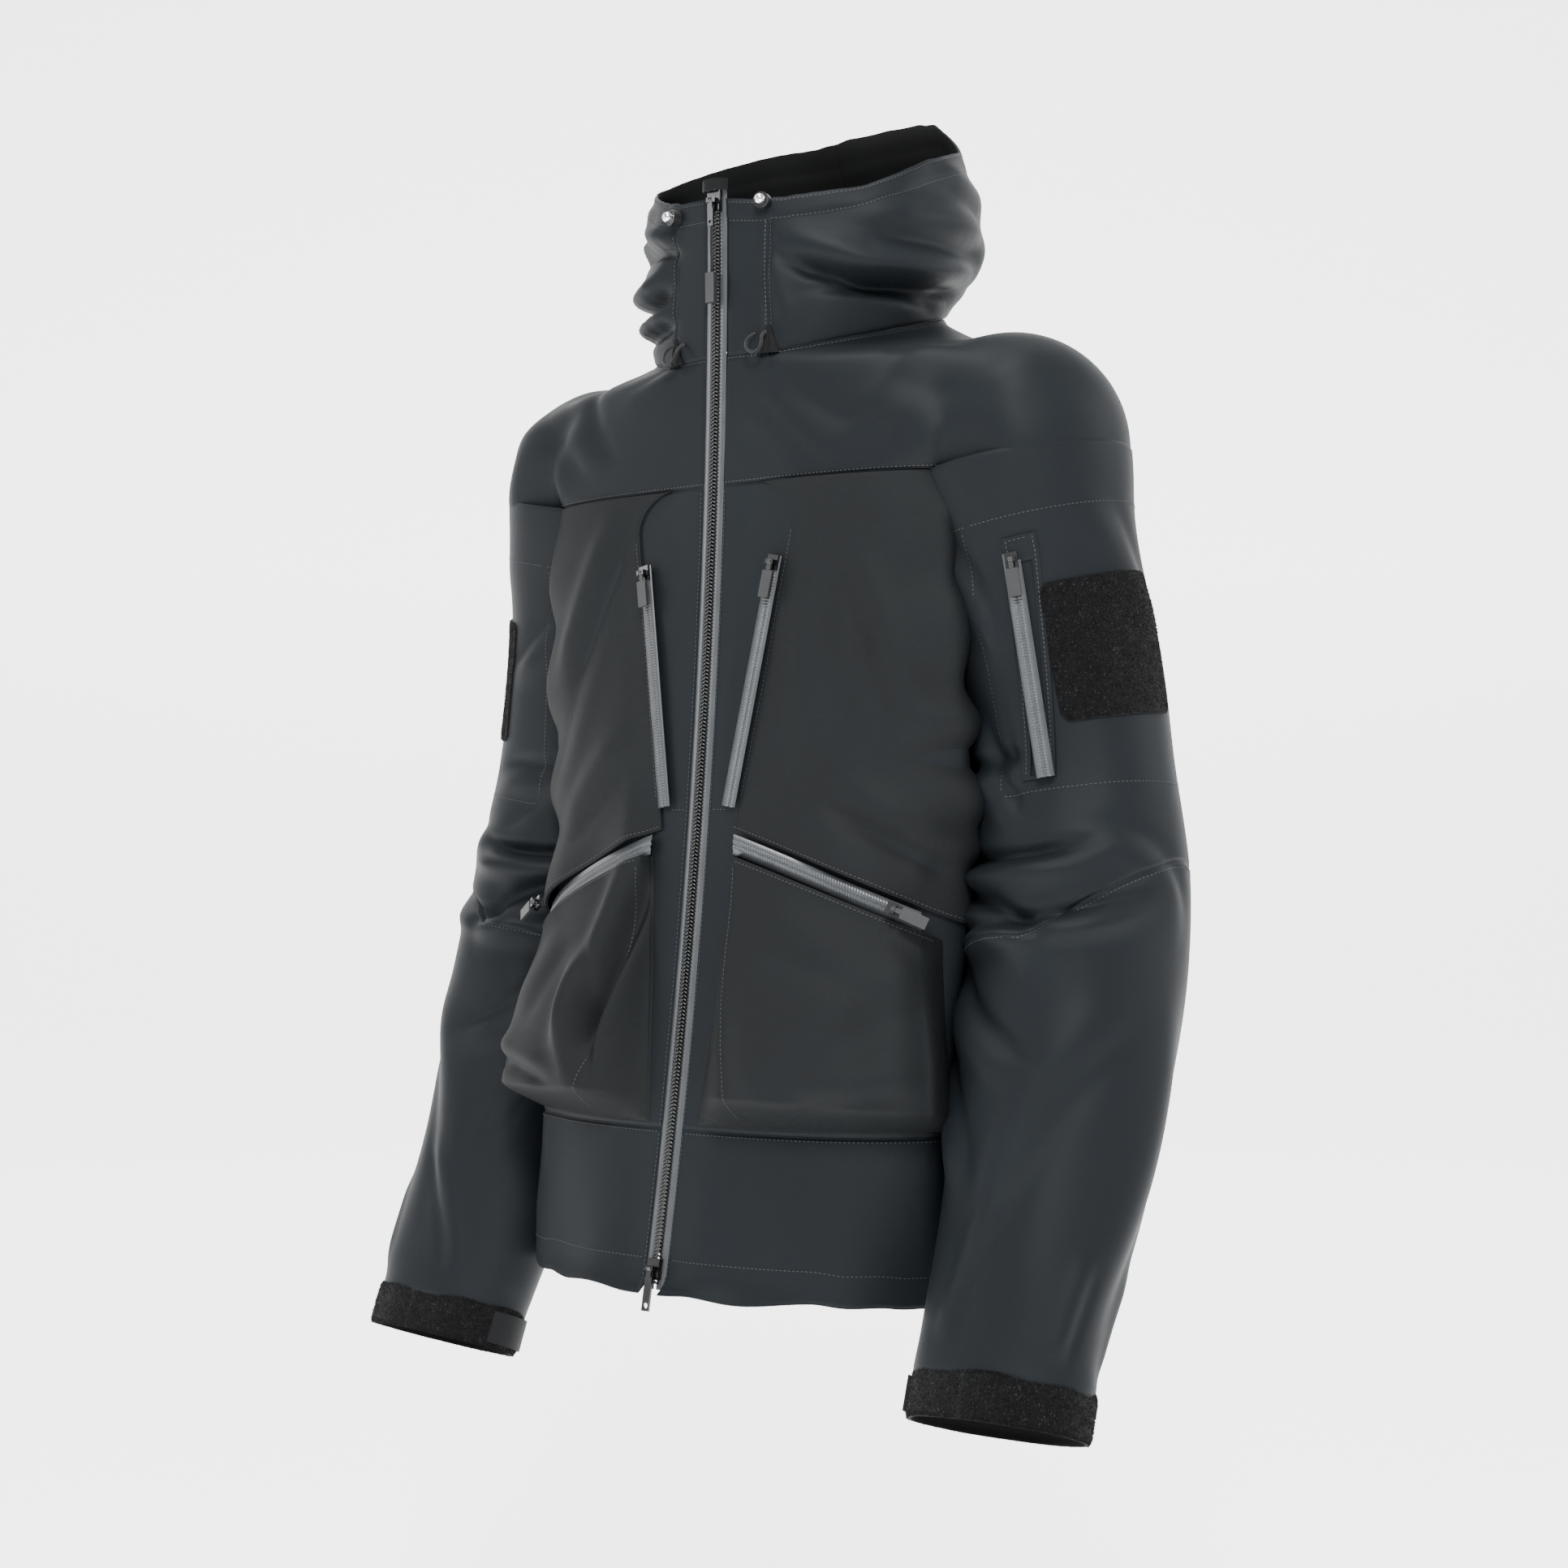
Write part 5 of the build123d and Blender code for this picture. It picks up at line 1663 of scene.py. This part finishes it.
def make_cuff_bands(mats):
    angles = np.arange(SLEEVE_TURNS) * 2 * math.pi / SLEEVE_TURNS
    cuff_middle = ELBOW + FOREARM * CUFF_START
    across = unit(np.array([1.0, 0, 0]) - FOREARM * FOREARM[0])
    ahead = np.cross(across, FOREARM)
    ahead = ahead if ahead[1] < 0 else -ahead
    local = BAND - cuff_middle
    wide, deep = np.abs(local @ across).max(), np.abs(local @ ahead).max()
    for side, sign in sides():
        row, down = np.meshgrid(angles, spaced(CUFF_END - CUFF_START, 0.002), indexing="ij")
        wave = 0.0008 * np.sin(3 * row + sign) + 0.0006 * np.sin(7 * row)
        grow = wave - 0.0012 * (np.exp(-((down / 0.1) ** 2)) + np.exp(-(((1 - down) / 0.1) ** 2)))
        place = cuff_middle + FOREARM * ((down * (CUFF_END - CUFF_START))[..., None])
        points = (
            place + across * ((wide + 0.0006 + grow) * np.sin(row))[..., None]
            + ahead * ((deep + 0.0006 + grow) * np.cos(row))[..., None]
        )
        build = Build(f"cuff_band_cloth_{side}")
        points = in_order(mirror_x(points, sign), sign)
        outer, normals = build.cloth(points, 0.0022, mats["fuzz"], mats["lining"], closed=True, roll=0.0004)
        pile(build, outer, normals, 12000, 5, mats["fuzz"])
        build.finish("hook_and_loop", f"lower_sleeve_{side}", replaces=[f"cuff_band_{side}"])


# ---------------------------------------------------------------- cords and small trim
CORD_WIDE = 0.0024


def curve_cord(name, route, material):
    data = bpy.data.curves.new(name, "CURVE")
    data.dimensions = "3D"
    data.bevel_depth = CORD_WIDE / 2
    data.bevel_resolution = 4
    data.resolution_u = 8
    spline = data.splines.new("NURBS")
    spline.points.add(len(route) - 1)
    for point, place in zip(spline.points, route):
        point.co = (*place, 1)
    spline.order_u = 3
    spline.use_endpoint_u = True
    data.materials.append(material)
    cord = bpy.data.objects.new(name, data)
    bpy.context.scene.collection.objects.link(cord)
    return cord


def run_length(route, steps=400):
    """Length of the quadratic B-spline with ends clamped that NURBS of order 3 draws."""
    route = np.asarray(route, float)
    n = len(route)
    knots = np.concatenate([[0, 0], np.linspace(0, 1, n - 1), [1, 1]])
    t = np.linspace(0, 1 - 1e-9, steps)
    points = np.zeros((steps, 3))
    for i in range(n):
        basis = [((knots[j] <= t) & (t < knots[j + 1])).astype(float) for j in range(i, i + 3)]
        for degree in (1, 2):
            raised = []
            for j in range(3 - degree):
                k = i + j
                a, b = knots[k + degree] - knots[k], knots[k + degree + 1] - knots[k + 1]
                left = (t - knots[k]) / a * basis[j] if a > 0 else 0 * t
                right = (knots[k + degree + 1] - t) / b * basis[j + 1] if b > 0 else 0 * t
                raised.append(left + right)
            basis = raised
        points += basis[0][:, None] * route[i]
    return np.linalg.norm(np.diff(points, axis=0), axis=1).sum()


def make_cords(mats):
    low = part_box("hood_cord_left")
    x0, x1 = low[0].x, low[1].x
    top, foot = low[1].z, low[0].z
    back, front = low[1].y, low[0].y
    mid = (x0 + x1) / 2
    for side, sign in sides():
        route = [
            (mid - 0.005, back, top - 0.001), (mid - 0.005, front + 0.006, top - 0.004),
            (mid - 0.006, front + 0.0015, top - 0.011), (mid - 0.001, front + 0.0012, foot + 0.0015),
            (mid + 0.006, front + 0.0022, foot + 0.002), (mid + 0.008, front + 0.004, top - 0.010),
            (mid + 0.006, front + 0.006, top - 0.004), (mid + 0.005, back, top - 0.001),
        ]
        route = [(x * sign, y, z) for x, y, z in route]
        cord = curve_cord(f"neck_cord_{side}", route, mats["cord"])
        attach(cord, "torso")
        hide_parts(f"hood_cord_{side}")
        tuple(route[0])
        round(run_length(route), 4)
    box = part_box("main_pull_cord")
    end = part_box("main_pull_end")
    y_top = box[1].y
    y_foot = (end[0].y + end[1].y) / 2
    x = (box[0].x + box[1].x) / 2
    route = [
        (x, y_top - CORD_WIDE / 2, box[1].z), (x + 0.0005, y_top - 0.0018, box[1].z - 0.009),
        (x - 0.0004, y_foot + 0.0004, box[1].z - 0.018), (x + 0.0003, y_foot, box[1].z - 0.026),
        (x, y_foot, box[0].z),
    ]
    cord = curve_cord("zip_pull_cord", route, mats["cord"])
    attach(cord, "main_pull_upper")
    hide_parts("main_pull_cord")
    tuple(route[0])
    round(run_length(route), 4)


def make_garage(mats):
    """The cloth hood over the top of the main zip."""
    runs = np.linspace(-0.004, 0.0045, 9)
    across = np.linspace(-1, 1, 25)
    s, a = np.meshgrid(runs, across, indexing="ij")
    high = 0.0060 * (1 - np.abs(a) ** 3) + 0.0008
    points = MAIN.point(s, -a * 0.0105, high)
    build = Build("zip_garage")
    points = points.transpose(1, 0, 2)
    build.cloth(points, 0.0010, mats["shell"], mats["lining"], roll=0.0004, roll_width=0.001)
    build.finish("shell_fabric", "torso")


def make_channel_mouths(mats):
    """The small three-cornered flaps where the neck cords come out of their channels."""
    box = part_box("hood_cord_left")
    z0 = box[1].z + 0.004
    for side, sign in sides():
        s, t = np.meshgrid(np.linspace(-1, 1, 17), np.linspace(0, 1, 15), indexing="ij")
        z = z0 - 0.020 * t
        turn = channel_turn(z) + s * 0.085 * (0.12 + 0.88 * t)
        points = HOODS[sign].point(turn, -z, 0.0012 + 0.0028 * t * (1 - s**2))
        build = Build(f"channel_mouth_{side}")
        points = in_order(points, sign)
        build.cloth(points, 0.0009, mats["lining"], mats["lining"], roll=0.0003, roll_width=0.001)
        build.finish("shell_fabric", "torso")


def make_sleeve_window(mats):
    """A welded frame round the sleeve zip, with a garage over its top."""
    angle, down = to_sleeve(ARM_ZIP_ENDS)
    top, foot = down.min() - 0.014, down.max() + 0.003
    surface = ARM[1.0]
    build = Build("sleeve_zip_frame")
    half = 0.0088

    def zip_angle(d):
        return np.interp(d, [down.min(), down.max()], [angle[down.argmin()], angle[down.argmax()]])

    def strip(a0, a1, d0, d1, n):
        a, d = np.meshgrid(np.linspace(a0, a1, 6), np.linspace(d0, d1, n), indexing="ij")
        points = surface.point(zip_angle(d) + a / ZIP_ROUND, d, 0.0017)
        build.cloth(points, 0.0012, mats["shell"], mats["shell"], roll=0.0005, roll_width=0.0012)

    strip(-half - 0.003, -half + 0.0028, top, foot, 80)
    strip(half - 0.0028, half + 0.003, top, foot, 80)
    strip(-half, half, top, down.min() + 0.004, 10)
    strip(-half, half, foot - 0.003, foot, 4)
    for side_at in (-half, half):
        d = np.linspace(top, foot, 120)
        seam_stitches(build, surface, zip_angle(d) + side_at / ZIP_ROUND, d, mats["thread"], 0.0019)
    d = np.full(20, top + 0.0025)
    angles = zip_angle(d) + np.linspace(-half, half, 20) / ZIP_ROUND
    seam_stitches(build, surface, angles, d, mats["thread"], 0.0019)
    build.finish("shell_fabric", "upper_sleeve_left")


# ---------------------------------------------------------------- put together
def finish_cad_pieces(mats):
    """The frame's own hard parts, with their edges eased and their materials set."""
    finishes = {
        "cuff_band": "fuzz", "cuff_tab": "webbing", "cord_button": "button", "cord_lock": "lock",
        "chest_slider": "metal", "hand_slider": "metal", "chest_pull": "grip", "hand_pull": "grip",
        "main_slider": "metal", "main_pull": "metal", "main_pull_end": "grip", "sleeve_slider": "metal",
        "sleeve_pull": "grip", "zip_tape": "tape", "zip_teeth": "teeth", "chest_zip_tape": "tape",
        "hand_zip_tape": "tape", "sleeve_zip_tape": "tape", "chest_pocket": "pocket",
        "cargo_pocket": "pocket", "loop_patch": "fuzz", "hanger_loop": "webbing", "hood_cord": "cord",
        "main_pull_cord": "cord",
    }
    for name, node in NODES.items():
        if node.hide_render:
            continue
        stem = max((key for key in finishes if name.startswith(key)), key=len, default="chest_slider")
        node.data.materials.clear()
        node.data.materials.append(mats[finishes[stem]])
        bevel = node.modifiers.new("eased edges", "BEVEL")
        bevel.width = 0.0003
        bevel.segments = 2
        bevel.limit_method = "ANGLE"


def main():
    make_camera()
    mats = make_materials()
    make_cords(mats)
    make_stage()
    make_lights()
    make_torso(mats)
    make_yoke(mats)
    make_hood(mats)
    make_sleeves(mats)
    make_main_zip(mats)
    make_coil_zips(mats)
    make_chest_pockets(mats)
    make_cargo_pockets(mats)
    make_loop_patches(mats)
    make_cuff_bands(mats)
    make_garage(mats)
    make_channel_mouths(mats)
    make_sleeve_window(mats)
    finish_cad_pieces(mats)
    boxes = {"cad": CAD_BOX, "visual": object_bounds()}
    sizes = {name: [list(corner) for corner in box] for name, box in boxes.items()}


main()
